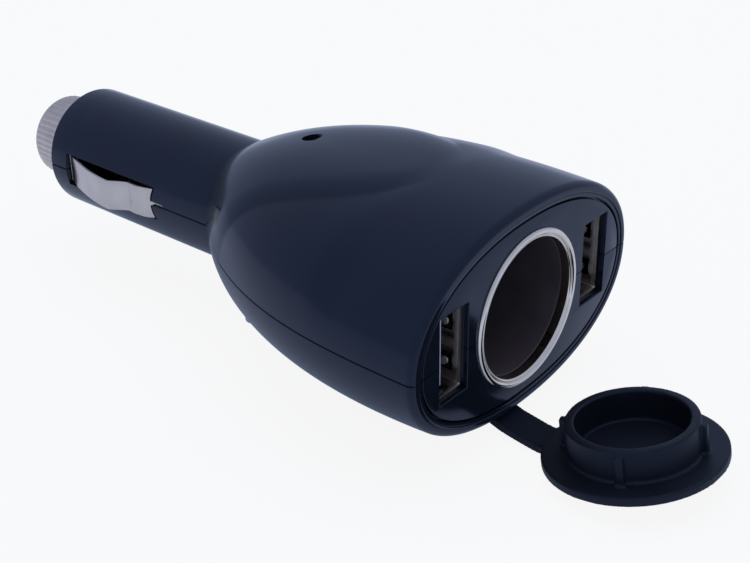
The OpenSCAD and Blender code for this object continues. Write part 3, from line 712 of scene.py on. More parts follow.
@dataclass(frozen=True)
class HeadForm:
    """Outline of the head and its raised pad, finer than the solid model's and inside its box.

    Attributes:
        wide: Half width.
        up: Height above the seam.
        down: Depth below the seam.
        neck_y: Where the barrel starts.
        squareness: Exponent of the cross-section.
        barrel_r: Radius of the barrel.
        rim_out: How far the rim stands in front of the face.
        shoulder: Radius of the turn from the side into the rim.
        pad_front: Where the pad's tip lies.
        pad_rise: Size factor of the pad's height.
        rise_power: How late the pad rises.
        pad_fillet: Width of the fillet along its edge.
        pad_end: Share of the way to the neck at which the pad's edge meets the seam.
        edge_fall: How far the pad's edge falls before its end, over what share of the way, and how fast.
        end_power: How abruptly the edge falls at its end.
        edge_points: Number of points along the edge from which distances are measured.
        reach: Length on the skin of one degree round the head.
        side_width: Least and greatest width of the pad's rounded side.
        side_out: How far the pad widens the head, as a share of its lift.
        flat_top: How far the head's own skin lies lower under the pad.
        flat_square: How much squarer the head is there.
        flat_start: Share of the way over which that sets in.
    """

    wide: Taper = Taper(26.4, 2.9)
    up: Taper = Taper(16.54, 4.6, 0.57)
    down: Taper = Taper(16.05, 2.75, 1.05)
    neck_y: float = 54.5
    squareness: float = 2.18
    barrel_r: float = 10.3
    rim_out: float = 0.15
    shoulder: float = 0.9
    pad_front: float = 13.8
    pad_rise: float = 0.62
    rise_power: float = 1.05
    pad_fillet: float = 0.25
    pad_end: float = 0.736
    edge_fall: tuple[float, float, float] = (0.589, 0.75, 0.65)
    end_power: float = 9
    edge_points: int = 200
    reach: float = 0.32
    side_width: Pair = (1.6, 4.2)
    side_out: float = 0.6
    flat_top: float = 0.5
    flat_square: float = 0.3
    flat_start: float = 0.16

    def size(self, taper: Taper, y: np.ndarray) -> np.ndarray:
        """Half width, height or depth of the plain head at each y."""
        return taper.at(np.clip(y / self.neck_y, 0, 1), self.barrel_r)

    def height(self, y: np.ndarray, half: Half) -> np.ndarray:
        """Finds the height of one half of the head, without the pad.

        Args:
            y: Distance from the face.
            half: The upper or the lower moulding.

        Returns:
            The distance of the skin from the seam.
        """
        if half is Half.LOWER:
            return self.size(self.down, y)
        return self.size(self.up, y) - self.flat_top * self.under_pad(y)

    def pad_along(self, y: np.ndarray) -> np.ndarray:
        """Share of the way from the pad's tip to the neck."""
        return np.clip((y - self.pad_front) / (self.neck_y - self.pad_front), 0, 1)

    def under_pad(self, y: np.ndarray) -> np.ndarray:
        """Share by which the head's own skin is flattened under the pad."""
        t = self.pad_along(y)
        return ease(t / self.flat_start) * (1 - t**4)

    def pad_edge(self, y: np.ndarray) -> np.ndarray:
        """Finds the angle of the pad's edge above the seam.

        Args:
            y: Distance from the face.

        Returns:
            The angle in degrees.
        """
        t = self.pad_along(y)
        fall, share, power = self.edge_fall
        narrowing = 1 - fall * np.minimum(1, t / share) ** power
        return 90 * narrowing * np.clip(1 - np.minimum(1, t / self.pad_end) ** self.end_power, 0, 1)

    def from_edge(self, y: np.ndarray, turn: np.ndarray) -> np.ndarray:
        """Finds how far points of the skin lie inside the pad's edge.

        Args:
            y: Distance from the face.
            turn: Angle above the seam, in degrees.

        Returns:
            The distance in millimetres, which is negative outside the edge.
        """
        length = self.pad_end * (self.neck_y - self.pad_front)
        line = self.pad_front + length * np.sin(np.linspace(0, math.pi / 2, self.edge_points))
        near = np.full(np.broadcast(y, turn).shape, np.inf)
        for edge_y, edge_turn in zip(line, self.pad_edge(line)):
            near = np.minimum(near, (y - edge_y) ** 2 + (self.reach * (turn - edge_turn)) ** 2)
        return np.where(turn > self.pad_edge(y), 1, -1) * np.sqrt(near)

    def pad_lift(self, y: np.ndarray, angle: np.ndarray) -> np.ndarray:
        """Finds the height of the pad above the plain skin.

        Args:
            y: Distance from the face.
            angle: Angle round from +X, in degrees.

        Returns:
            The lift in millimetres.
        """
        t = self.pad_along(y)
        height = self.pad_rise * t**self.rise_power * (1 - t**4) + self.flat_top * self.under_pad(y)
        gap = self.from_edge(y, np.minimum(angle, 180 - angle))
        # A hyperbola rounds the crease, and a parabola carries the side up to the crown
        inside = (gap + np.sqrt(gap**2 + self.pad_fillet**2)) / 2
        span = np.clip(self.reach * (90 - self.pad_edge(y)), *self.side_width)
        lift = height * (1 - (1 - np.minimum(1, inside / span)) ** 2)
        return np.where(y <= self.pad_front, 0.0, lift)

    def sections(
        self, rows: Sequence[Pair], columns: int, half: Half, pad: float, seam: float, chamfer: float
    ) -> np.ndarray:
        """Computes the points of one half's skin.

        Args:
            rows: Distance from the face and inset from the outline of each row.
            columns: Number of steps round the half.
            half: The upper or the lower moulding.
            pad: Share of the raised pad that the skin follows.
            seam: Distance of its edge from the seam plane.
            chamfer: Chamfer along that edge.

        Returns:
            Points as an array of rows, columns and coordinates.
        """
        y = np.array([r[0] for r in rows])[:, None]
        inset = np.array([r[1] for r in rows])[:, None]
        wide = self.size(self.wide, y) - inset
        tall = self.height(y, half) - inset
        square = self.squareness + (self.flat_square * self.under_pad(y) if half is Half.UPPER else 0.0)
        low = np.degrees(np.arcsin(((seam + chamfer) / tall) ** (square / 2)))
        share = np.linspace(0, 1, columns - 1)[None, :]
        angle = low + (180 - 2 * low) * share
        cos = np.cos(np.radians(angle))
        sin = np.sin(np.radians(angle))
        power = 2 / square
        x = wide * np.sign(cos) * np.abs(cos) ** power
        z = tall * np.abs(sin) ** power
        if half is Half.UPPER:
            lift = pad * self.pad_lift(y, angle)
            x = x + self.side_out * lift * cos
            z = z + lift * sin
        across = np.concatenate([x[:, :1] - chamfer, x, x[:, -1:] + chamfer], axis=1)
        edge = np.full_like(x[:, :1], seam)
        up = np.concatenate([edge, z, edge], axis=1)
        return np.stack([across, np.broadcast_to(y, across.shape), up * half.value], axis=2)


@dataclass
class Housing:
    """The two mouldings of the head and the barrel, with the openings that both share.

    Attributes:
        form: Outline of the head.
        wall: Wall thickness of the head.
        seam: Half the gap between the two mouldings.
        chamfer: Chamfer along the seam.
        barrel_end: Where the barrel ends.
        end_round: Rounding of its end edge.
        barrel_bore: Inner radius of the barrel.
        sleeve_r: Outer radius of the fuse sleeve.
        collar_r: Radius of its collar's recess.
        ring_hole_r: Radius of the round opening in the face.
        port_size: Width and height of a port's opening.
        chamfer_in: Chamfer at its mouth.
        window_y: Ends of a ground spring's window.
        window_half: Half its height.
        window_in: Distance of its floor from the axis.
        window_bulge: Radius of the arc at its end.
        step_y: Ends of the step between the window and the root's pocket.
        step_in: Distance from the axis of the step's floor and of the slot's.
        pocket_r: Radius of the root's pocket.
        slot_y: Ends of the slot for the tongue at the leaf's end.
        slot_half: Half the slot's height.
        past: Distance from the axis at which every window's cutter is outside the barrel.
        lamp_y: Place of the lamp's hole.
        lamp_r: Radius of the lamp's hole.
        screw_x: Distance of the screws from the middle.
        screw_y: Distance of the screws from the face.
        screw_seat: Height of the seat under a screw's head.
        screw_head_r: Radius of the hole for its head.
        screw_r: Radius of the hole for its thread.
        post_r: Radius of the post round it.
        under: Height at which every cutter from below is outside the head.
    """

    form: HeadForm
    wall: float = 1.8
    seam: float = 0.07
    chamfer: float = 0.1
    barrel_end: float = 93.3
    end_round: float = 0.45
    barrel_bore: float = 8.8
    sleeve_r: float = 5.05
    collar_r: float = 6.52
    ring_hole_r: float = 11.6
    port_size: Pair = (6.2, 13.5)
    chamfer_in: float = 0.12
    window_y: Pair = (65.3, 88.6)
    window_half: float = 2.9
    window_in: float = 7.4
    window_bulge: float = 6.65
    step_y: Pair = (88.3, 89.1)
    step_in: float = 7.8
    pocket_r: float = 0.98
    slot_y: Pair = (64.7, 67.4)
    slot_half: float = 0.42
    past: float = 14.0
    lamp_y: float = 40.5
    lamp_r: float = 1.5
    screw_x: float = 17.6
    screw_y: float = 36.4
    screw_seat: float = -5.6
    screw_head_r: float = 2.1
    screw_r: float = 1.1
    post_r: float = 2.9
    under: float = -20.0

    def rim_rows(self) -> list[Pair]:
        """Lists the rows of the stepped rim.

        Returns:
            Distance from the face and inset of each row, from the face plate out to the side.
        """
        out = self.form.rim_out
        plate = [(0.0, 2.62), (0.02, 2.54), (0.09, 2.5)]
        groove = [(0.69, 2.5), (0.75, 2.44), (0.75, 2.21), (0.69, 2.15)]
        inner_lip = [(0.09, 2.15), (0.02, 2.12), (0.0, 2.05), (0.0, 1.62), (0.03, 1.57), (0.1, 1.54)]
        outer_lip = [(0.1, 1.5), (-0.07, 1.5), (0.05 - out, 1.47), (-out, 1.38), (-out, 1.0)]
        turn = []
        for k in range(11):
            a = math.radians(90 - 9 * k)
            turn.append((1 - (1 + out) * math.sin(a), self.form.shoulder * (1 - math.cos(a))))
        return plate + groove + inner_lip + outer_lip + turn

    def skin_rows(self) -> list[Pair]:
        """Lists the rows along the side, denser where the pad's ridge runs."""
        levels = [*np.arange(1.6, 13.9, 0.8), *np.arange(14.0, 54.4, 0.3), self.form.neck_y]
        return [(float(y), 0.0) for y in levels]

    def barrel_half(self, half: Half) -> Piece:
        """Makes one half of the barrel with its rounded end edge.

        Args:
            half: The upper or the lower one.

        Returns:
            The closed half.
        """
        full = self.form.barrel_r
        rows = [(float(y), full) for y in (50, *range(54, 91, 6))]
        for k in range(7):
            a = math.radians(15 * k)
            y = self.barrel_end - self.end_round + self.end_round * math.sin(a)
            rows.append((y, full - self.end_round + self.end_round * math.cos(a)))
        grid = []
        for y, radius in rows:
            low = math.degrees(math.asin((self.seam + self.chamfer) / radius))
            foot = (radius * math.cos(math.radians(low)) - self.chamfer, y, self.seam * half.value)
            line = [foot]
            for a in np.linspace(low, 180 - low, 221):
                turn = math.radians(float(a))
                line.append((radius * math.cos(turn), y, radius * math.sin(turn) * half.value))
            grid.append([*line, (-foot[0], y, foot[2])])
        return loft("barrel", grid, open_rows=True)

    def hollow(self, half: Half) -> Piece:
        """Makes the solid that hollows one half of the head.

        Args:
            half: The upper or the lower one.

        Returns:
            The hollow, which leaves the screws' posts and the strap's wall in the lower half.
        """
        rows = [(float(y), self.wall) for y in np.linspace(2.0, 51.5, 34)]
        grid = self.form.sections(rows, 90, half, 0.6, 0.0, 0.001)
        # The base lies past the seam, so that both halves open into one room
        grid[:, [0, -1], 2] = -0.5 * half.value
        room = loft("hollow", grid, open_rows=True)
        if half is Half.LOWER:
            screws = [side.value * self.screw_x for side in Side]
            kept = [rod((x, self.screw_y, 1), (x, self.screw_y, self.under), self.post_r) for x in screws]
            kept.append(brick((-7.6, 2.2), (1.0, 6.5), (-16.0, -13.0)))
            combine(room, kept, Join.CUT)
        return room

    def port_cutter(self, side: Side) -> Piece:
        """Makes the cutter of one port's opening, with a small chamfer at its mouth.

        Args:
            side: The side that it is on.

        Returns:
            The cutter.
        """
        x = side.value * PORT_MIDDLE[0]
        z = PORT_MIDDLE[1]
        wide = self.chamfer_in
        rows = []
        for y, grow in ((-0.5, wide), (-0.02, wide), (0.1, 0.0), (15.4, 0.0)):
            w = self.port_size[0] / 2 + grow
            h = self.port_size[1] / 2 + grow
            rows.append([(x - w, y, z - h), (x + w, y, z - h), (x + w, y, z + h), (x - w, y, z + h)])
        return loft("port_cutter", rows)

    def window_cutters(self, side: Side) -> list[Piece]:
        """Makes the cutters of one ground spring's window.

        Args:
            side: The side that it is on.

        Returns:
            The window, its step at the root, the root's pocket and the slot at the leaf's end.
        """
        s = side.value
        tall = (-self.window_half, self.window_half)
        window = brick(side.span(self.window_in, self.past), self.window_y, tall)
        bulge = rod((s * 5, BULGE_Y, 0), (s * 16, BULGE_Y, 0), self.window_bulge, steps=240)
        combine(window, [bulge], Join.CUT)
        return [
            window,
            brick(side.span(self.step_in, self.past), self.step_y, tall),
            rod((s * EYE_X, EYE_Y, tall[0]), (s * EYE_X, EYE_Y, tall[1]), self.pocket_r),
            brick(side.span(self.step_in, 11), self.slot_y, (-self.slot_half, self.slot_half)),
        ]

    def cutters(self) -> list[Piece]:
        """Makes the cutters that both mouldings share.

        Returns:
            The bores along the axis, the ports' openings and the springs' windows.
        """
        bores = (
            (-1, 4, self.ring_hole_r, 256),  # opening for the ring
            (3, 38.9, WELL_R + 0.05, 128),  # room for the well
            (48.5, 88.4, self.barrel_bore, 128),  # room of the barrel
            (87.4, 94.3, self.sleeve_r + 0.02, 96),  # hole for the fuse sleeve
            (89.4, 91.0, self.collar_r, 96),  # recess for the sleeve's collar
        )
        made = [rod((0, low, 0), (0, high, 0), radius, steps=steps) for low, high, radius, steps in bores]
        for side in Side:
            made.append(self.port_cutter(side))
            made.extend(self.window_cutters(side))
        return made

    def own_cutters(self, half: Half) -> list[Piece]:
        """Makes the cutters that only one moulding has.

        Args:
            half: The upper or the lower one.

        Returns:
            The lamp's hole, or the screws' holes and the strap's throat.
        """
        if half is Half.UPPER:
            y = np.array([self.lamp_y])
            top = float(self.form.height(y, half)[0] + self.form.pad_lift(y, np.array([90.0]))[0])
            r = self.lamp_r
            hole = rod((0, self.lamp_y, 10), (0, self.lamp_y, 25), r)
            return [hole, rod((0, self.lamp_y, top - 0.16), (0, self.lamp_y, top + 0.3), r, r + 0.4)]
        made = []
        for side in Side:
            x = side.value * self.screw_x
            for top, radius in ((self.screw_seat, self.screw_head_r), (1, self.screw_r)):
                made.append(rod((x, self.screw_y, self.under), (x, self.screw_y, top), radius))
        made.append(rod((-6.7, *HINGE), (1.3, *HINGE), 1.06))
        throat = [(2.6, -14.65), (4.7, -15.0), (5.9, -17.2), (-0.3, -17.2)]
        made.append(prism(throat, (-5.6, 0.2), Axis.X))
        return made

    def moulding(self, half: Half) -> Piece:
        """Makes one moulding of the housing.

        Args:
            half: The upper or the lower one.

        Returns:
            The finished mesh.
        """
        rows = self.rim_rows() + self.skin_rows()
        columns = 220 if half is Half.UPPER else 160
        grid = self.form.sections(rows, columns, half, 1.0, self.seam, self.chamfer)
        shell = loft(f"{half.name.lower()}_moulding", grid, open_rows=True)
        combine(shell, [self.barrel_half(half)], Join.ADD)
        combine(shell, [self.hollow(half), *self.cutters(), *self.own_cutters(half)], Join.CUT)
        shade(shell, 28)
        return shell

    def build(self) -> None:
        """Builds both mouldings, dresses them and sets them in place of the solid model's shells."""
        for half in Half:
            place(self.moulding(half), "housing", "shell_black", f"{half.name.lower()}_shell")


# Plug end


@dataclass
class PlugTip:
    """The knurled nut and the centre pin.

    Attributes:
        nut_y: Where the nut starts.
        nut_len: Length of the nut.
        nut_r: Radius at the barrel.
        nut_tip_r: Radius at the outer end.
        thread_r: Radius of its threaded bore.
        edge: Length of the rounding at the barrel.
        crown: Length of the rounded outer end.
        ribs: Number of ribs in the grip.
        rib_deep: Depth between the ribs.
        rib_power: How narrow the grooves are beside the ribs.
        pin_r: Radius of the pin.
        pin_end: Place of the pin's tip.
        dome: Length of the pin's domed end.
    """

    nut_y: float = 93.4
    nut_len: float = 8.7
    nut_r: float = 7.65
    nut_tip_r: float = 7.15
    thread_r: float = 5.15
    edge: float = 0.25
    crown: float = 1.0
    ribs: int = 44
    rib_deep: float = 0.2
    rib_power: float = 2.2
    pin_r: float = 2.44
    pin_end: float = 108.0
    dome: float = 2.1

    def knurl_tree(self) -> Tree:
        """Builds the tree that presses straight grooves into a turned blank.

        Returns:
            The tree, with inputs for the number, depth and reach of the grooves.
        """
        floats = dict.fromkeys(("Grooves", "Depth", "Start", "End", "Ramp", "Inner Radius"), "Float")
        tree, given = new_group("straight_knurl", {"Geometry": "Geometry", **floats, "Material": "Material"})
        position = add_node(tree, "GeometryNodeInputPosition")
        x, y, z = add_node(tree, "ShaderNodeSeparateXYZ", inputs={0: position}).outputs
        turn = add_node(tree, MATH, {"operation": "ARCTAN2"}, {0: z, 1: x})
        phase = add_node(tree, MATH, {"operation": "MULTIPLY"}, {0: turn, 1: given["Grooves"]})
        wave = add_node(tree, MATH, {"operation": "COSINE"}, {0: phase})
        lifted = add_node(tree, MATH, {"operation": "MULTIPLY_ADD"}, {0: wave, 1: 0.5, 2: 0.5})
        # A high power of the wave leaves wide ribs with narrow grooves between them
        groove = add_node(tree, MATH, {"operation": "POWER"}, {0: lifted, 1: self.rib_power})
        flat = add_node(tree, COMBINE, inputs={0: x, 2: z})
        radius = add_node(tree, VECTOR_MATH, {"operation": "LENGTH"}, {0: flat}).outputs["Value"]
        push = add_node(tree, MATH, {"operation": "GREATER_THAN"}, {0: radius, 1: given["Inner Radius"]})
        ramps = []
        for limit, inward in (("Start", "ADD"), ("End", "SUBTRACT")):
            full = add_node(tree, MATH, {"operation": inward}, {0: given[limit], 1: given["Ramp"]})
            reach = {"Value": y, "From Min": given[limit], "From Max": full}
            ramps.append(add_node(tree, MAP_RANGE, {"interpolation_type": "SMOOTHSTEP"}, reach))
        for factor in (*ramps, groove, given["Depth"], -1.0):
            push = add_node(tree, MATH, {"operation": "MULTIPLY"}, {0: push, 1: factor})
        outward = add_node(tree, VECTOR_MATH, {"operation": "NORMALIZE"}, {0: flat})
        offset = add_node(tree, VECTOR_MATH, {"operation": "SCALE"}, {0: outward, "Scale": push})
        move = {"Geometry": given["Geometry"], "Offset": offset}
        pressed = add_node(tree, "GeometryNodeSetPosition", inputs=move)
        return end_group(tree, pressed, given["Material"])

    def nut(self) -> Piece:
        """Turns the nut's blank and presses the knurl into it.

        Returns:
            The finished nut.
        """
        y0 = self.nut_y
        y1 = self.nut_y + self.nut_len
        r = self.nut_r
        tip = self.nut_tip_r
        hole = self.pin_r + 0.08
        profile = [(self.thread_r, y0), (r - 0.3, y0), (r - 0.1, y0 + 0.06), (r, y0 + self.edge)]
        for k in range(1, 25):
            share = k / 24
            y = y0 + self.edge + (y1 - self.crown - y0 - self.edge) * share
            profile.append((r + (tip - r) * share, y))
        profile += [(tip - 0.12, y1 - 0.75), (tip - 0.4, y1 - 0.3), (tip - 0.75, y1 - 0.06), (tip - 1.0, y1)]
        profile += [(self.pin_r + 0.35, y1), (self.pin_r + 0.12, y1 - 0.12), (hole, y1 - 0.4)]
        profile += [(hole, y1 - 2.2), (self.thread_r, y1 - 2.2)]
        nut = turned("knurled_nut", profile, self.ribs * 14)
        values = {
            "Grooves": float(self.ribs),
            "Depth": self.rib_deep * MM,
            "Start": (y0 + 0.5) * MM,
            "End": (y1 - 0.75) * MM,
            "Ramp": 0.5 * MM,
            "Inner Radius": 6.0 * MM,
            "Material": TURNED_ALUMINIUM.make(),
        }
        run_tree(nut, self.knurl_tree(), values)
        shade(nut)
        return nut

    def pin(self) -> Piece:
        """Turns the centre pin with its collar and its domed end.

        Returns:
            The finished pin.
        """
        start = self.pin_end - self.dome
        profile = [(0.0, 98.3), (3.0, 98.3), (3.1, 98.4), (3.1, 99.7), (3.0, 99.8), (self.pin_r, 99.8)]
        profile += [(self.pin_r, y) for y in (101.0, 103.0, start - 0.6)]
        for k in range(17):
            a = math.radians(90 * k / 16)
            profile.append((max(0.0, self.pin_r * math.cos(a)), start + self.dome * math.sin(a)))
        pin = turned("contact_pin", profile, 96)
        shade(pin)
        return pin

    def build(self) -> None:
        """Builds the nut and the pin, dresses them and sets them in place of the solid model's nodes."""
        place(self.nut(), "housing", "tip_metal", "tip_nut")
        place(self.pin(), "pin", "pin_metal", "centre_pin")


@dataclass
class GroundSpring:
    """One bent ground spring on the side of the barrel.

    Attributes:
        side: The side that it is on.
        crest_x: Distance of its crest from the axis.
        root_x: Distance of its outer face from the axis at the root.
        valley: How much lower than the crest the valley beside it lies.
        hump: How far the leaf bows out again past the valley.
        droop: How much lower than the valley its free end lies.
        bends: Places of the free end, the hump's foot, the valley and the crest.
        height: Height of the leaf.
        thick: Thickness of the leaf.
        eye_r: Radius of the rolled root.
        trim_r: Radius of the arc that ends the leaf.
    """

    side: Side
    crest_x: float = 12.66
    root_x: float = 9.45
    valley: float = 1.8
    hump: float = 0.12
    droop: float = 1.1
    bends: tuple[float, float, float, float] = (66.9, 69.6, 72.2, 76.0)
    height: float = 5.2
    thick: float = 0.45
    eye_r: float = 0.9
    trim_r: float = 7.0

    def face_x(self, y: float) -> float:
        """Finds the distance of the leaf's outer face from the axis.

        Args:
            y: Place along the leaf.

        Returns:
            The distance there.
        """
        end_y, hump_y, valley_y, crest_y = self.bends
        valley_x = self.crest_x - self.valley
        if y > crest_y:
            share = (y - crest_y) / (EYE_Y - 0.8 - crest_y)
            return self.crest_x - (self.crest_x - self.root_x) * share**1.6
        if y > valley_y:
            return valley_x + self.valley * float(ease((y - valley_y) / (crest_y - valley_y)))
        if y > hump_y:
            return valley_x + self.hump * math.sin(math.pi * (valley_y - y) / (valley_y - hump_y))
        return valley_x - self.droop * ((hump_y - y) / (hump_y - end_y)) ** 2

    def leaf(self) -> Piece:
        """Bends the leaf, adds its rolled root and its end tongue, and trims the end to an arc.

        Returns:
            The finished spring.
        """
        s = self.side.value
        h = self.height / 2
        ys = [float(y) for y in np.linspace(self.bends[0], 88.8, 121)]
        outer = [(s * self.face_x(y), y) for y in ys]
        inner = [(s * (self.face_x(y) - self.thick), y) for y in ys[::-1]]
        leaf = prism(outer + inner, (-h, h), Axis.Z)
        leaf.name = f"ground_leaf_{self.side.label}"
        low_x = self.crest_x - self.valley
        eye = rod((s * EYE_X, EYE_Y, -h), (s * EYE_X, EYE_Y, h), self.eye_r, steps=48)
        tongue = brick(self.side.span(low_x - 1.5, low_x - 1.1), (65.3, 67.8), (-0.35, 0.35))
        combine(leaf, [eye, tongue], Join.ADD)
        trim = rod((s * (low_x - 6), BULGE_Y, 0), (s * (low_x + 3), BULGE_Y, 0), self.trim_r, steps=240)
        # The tongue's height is left out of the trim
        combine(trim, [brick((-20, 20), (60, 70), (-0.36, 0.36))], Join.CUT)
        combine(leaf, [trim], Join.CUT)
        soften(leaf, 0.07)
        shade(leaf)
        return leaf

    def build(self) -> None:
        """Builds the spring, dresses it and sets it in place of the solid model's node."""
        end = self.side.label
        place(self.leaf(), f"{end}_spring", "spring_metal", f"ground_spring_{end}")


# Socket and ports


@dataclass
class Socket:
    """The round socket: its bright ring and its dark well.

    Attributes:
        inner_r: Radius of the well.
        deep: Depth of the well.
        floor_t: Thickness of its floor.
        hole_r: Radius of the hole for the centre contact.
        ring_r: Outer radius of the ring.
        ring_out: How far the ring stands out.
        bead: Half the width of its rolled bead.
    """

    inner_r: float = 10.6
    deep: float = 36.0
    floor_t: float = 2.6
    hole_r: float = 1.55
    ring_r: float = 12.0
    ring_out: float = 0.5
    bead: float = 0.46

    def ring(self) -> Piece:
        """Turns the rolled ring with its skirt.

        Returns:
            The finished ring.
        """
        inner = self.inner_r + 0.02
        rise = self.ring_out - 0.1
        profile = [(self.ring_r - 0.02, -0.02)]
        for k in range(25):
            a = math.radians(180 * k / 24)
            profile.append((self.ring_r - self.bead + self.bead * math.cos(a), -0.1 - rise * math.sin(a)))
        # A fine groove parts the bead from the inner lip, which turns down into the bright mouth
        profile += [(11.06, 0.0), (11.0, 0.0), (10.98, -0.1), (10.92, -0.2), (10.83, -0.24), (10.72, -0.2)]
        profile += [(inner + 0.02, -0.08), (inner, 0.05), (inner, 1.28), (inner + 0.07, 1.35)]
        profile += [(11.17, 1.35), (11.17, 3.0), (11.55, 3.0), (11.55, -0.02)]
        ring = turned("socket_rim", profile, 288)
        shade(ring)
        return ring

    def well(self) -> Piece:
        """Turns the well with its recess for the centre contact, and cuts the ground strip's slot.

        Returns:
            The finished well.
        """
        end = self.deep + self.floor_t
        recess = self.deep + 1.2
        r = self.inner_r
        profile = [(11.15, 1.4), (11.15, 3.05), (WELL_R, 3.05), (WELL_R, end), (self.hole_r, end)]
        profile += [(self.hole_r, recess), (5.0, recess), (5.0, self.deep)]
        profile += [(r - 0.3, self.deep), (r, self.deep - 0.3), (r, 1.5), (r + 0.1, 1.4)]
        well = turned("socket_well_turned", profile, 192)
        combine(well, [brick((-3.05, 3.05), (6.0, self.deep), (r - 2, 11.2))], Join.CUT)
        shade(well, 35)
        return well

    def build(self) -> None:
        """Builds the ring and the well, dresses them and sets them in place of the solid model's nodes."""
        place(self.ring(), "housing", "ring_chrome", "socket_ring")
        place(self.well(), "housing", "well_plastic", "socket_well")


@dataclass
class ChargingPort:
    """One charging port: a bent metal shell with spring fingers and a plastic tongue.

    Attributes:
        side: The side that it is on.
        size: Width and height of the shell.
        wall: Thickness of the shell.
        front: Where the shell starts behind the face.
        back: Where it ends.
        finger_z: Distance of each spring finger from the middle.
    """

    side: Side
    size: Pair = (5.8, 13.1)
    wall: float = 0.35
    front: float = 1.2
    back: float = 15.2
    finger_z: float = 3.15

    def across(self, offset: float) -> float:
        """X at a distance from the port's middle towards +X."""
        return self.side.value * PORT_MIDDLE[0] + offset

    def slab(self, x: Pair, y: Pair, z: Pair) -> Piece:
        """Makes a box from its spans, with X and Z counted from the port's middle."""
        z0 = PORT_MIDDLE[1]
        return brick((self.across(x[0]), self.across(x[1])), y, (z0 + z[0], z0 + z[1]))

    def loop(self, y: float, grow: float, corner: float) -> list[Point]:
        """Lists a rounded rectangle across the port.

        Args:
            y: Distance from the face.
            grow: How much larger it is than the shell, on each side.
            corner: Radius of its corners.

        Returns:
            The loop's points.
        """
        w = self.size[0] / 2 + grow - corner
        h = self.size[1] / 2 + grow - corner
        points = []
        for cx, cz, start in ((w, h, 0), (-w, h, 90), (-w, -h, 180), (w, -h, 270)):
            for step in range(7):
                turn = math.radians(start + 15 * step)
                x = self.across(cx) + corner * math.cos(turn)
                points.append((x, y, PORT_MIDDLE[1] + cz + corner * math.sin(turn)))
        return points

    def shell(self) -> Piece:
        """Bends the metal shell with its flared mouth, its windows and its spring fingers.

        Returns:
            The finished shell.
        """
        f = self.front
        t = self.wall
        outside = [(f - 0.2, 0.17), (f + 0.15, 0.1), (f + 0.7, 0.0), (self.back, 0.0)]
        inside = [(f - 0.3, -0.12), (f + 0.15, 0.1 - t), (f + 0.7, -t), (self.back - 0.3, -t)]
        can = loft(f"port_can_{self.side.label}", [self.loop(y, grow, 0.55) for y, grow in outside])
        combine(can, [loft("inside", [self.loop(y, grow, 0.3) for y, grow in inside])], Join.CUT)
        edge = self.size[0] / 2
        heights = (-self.finger_z, self.finger_z)
        windows = [self.slab((edge - 1, edge + 1), (f + 1.1, f + 8), (z - 1.4, z + 1.4)) for z in heights]
        combine(can, windows, Join.CUT)
        combine(can, [self.finger(z) for z in heights], Join.ADD)
        shade(can, 35)
        return can

    def finger(self, level: float) -> Piece:
        """Bends one spring finger, which bows into the port and ends in a round, turned-up tip.

        Args:
            level: Height of the finger above the port's middle.

        Returns:
            The closed finger.
        """
        z = PORT_MIDDLE[1] + level
        # Distance behind the shell's front, bow into the port and half width, from the root to the tip
        shape = (
            (8.3, 0.0, 0.8),
            (6.5, 0.12, 0.8),
            (4.8, 0.4, 0.8),
            (3.4, 0.55, 0.8),
            (2.7, 0.5, 0.79),
            (2.2, 0.36, 0.72),
            (1.9, 0.2, 0.55),
            (1.76, 0.1, 0.36),
            (1.7, 0.06, 0.15),
        )
        rows = []
        for behind, bow, half in shape:
            y = self.front + behind
            outer = self.across(self.size[0] / 2 - bow)
            inner = self.across(self.size[0] / 2 - bow - self.wall)
            low = z - half
            high = z + half
            rows.append([(inner, y, low), (outer, y, low), (outer, y, high), (inner, y, high)])
        return loft("finger", rows)

    def tongue(self) -> Piece:
        """Moulds the tongue and the block that it grows from.

        Returns:
            The finished tongue.
        """
        x0 = self.wall - self.size[0] / 2
        h = self.size[1] / 2 - self.wall - 0.02
        tongue = self.slab((x0 + 0.5, x0 + 2.4), (self.front + 0.9, self.back - 2), (-5.55, 5.55))
        tongue.name = f"port_tongue_moulded_{self.side.label}"
        block = self.slab((x0 + 0.02, -x0 - 0.02), (self.back - 3.2, self.back - 0.32), (-h, h))
        combine(tongue, [block], Join.ADD)
        soften(tongue, 0.12)
        shade(tongue)
        return tongue

    def build(self) -> None:
        """Builds the shell and the tongue, dresses them and sets them in place of the solid model's nodes.
        """
        place(self.shell(), "housing", "port_metal", f"port_shell_{self.side.label}")
        place(self.tongue(), "housing", "tongue_plastic", f"port_tongue_{self.side.label}")


# Rubber cap


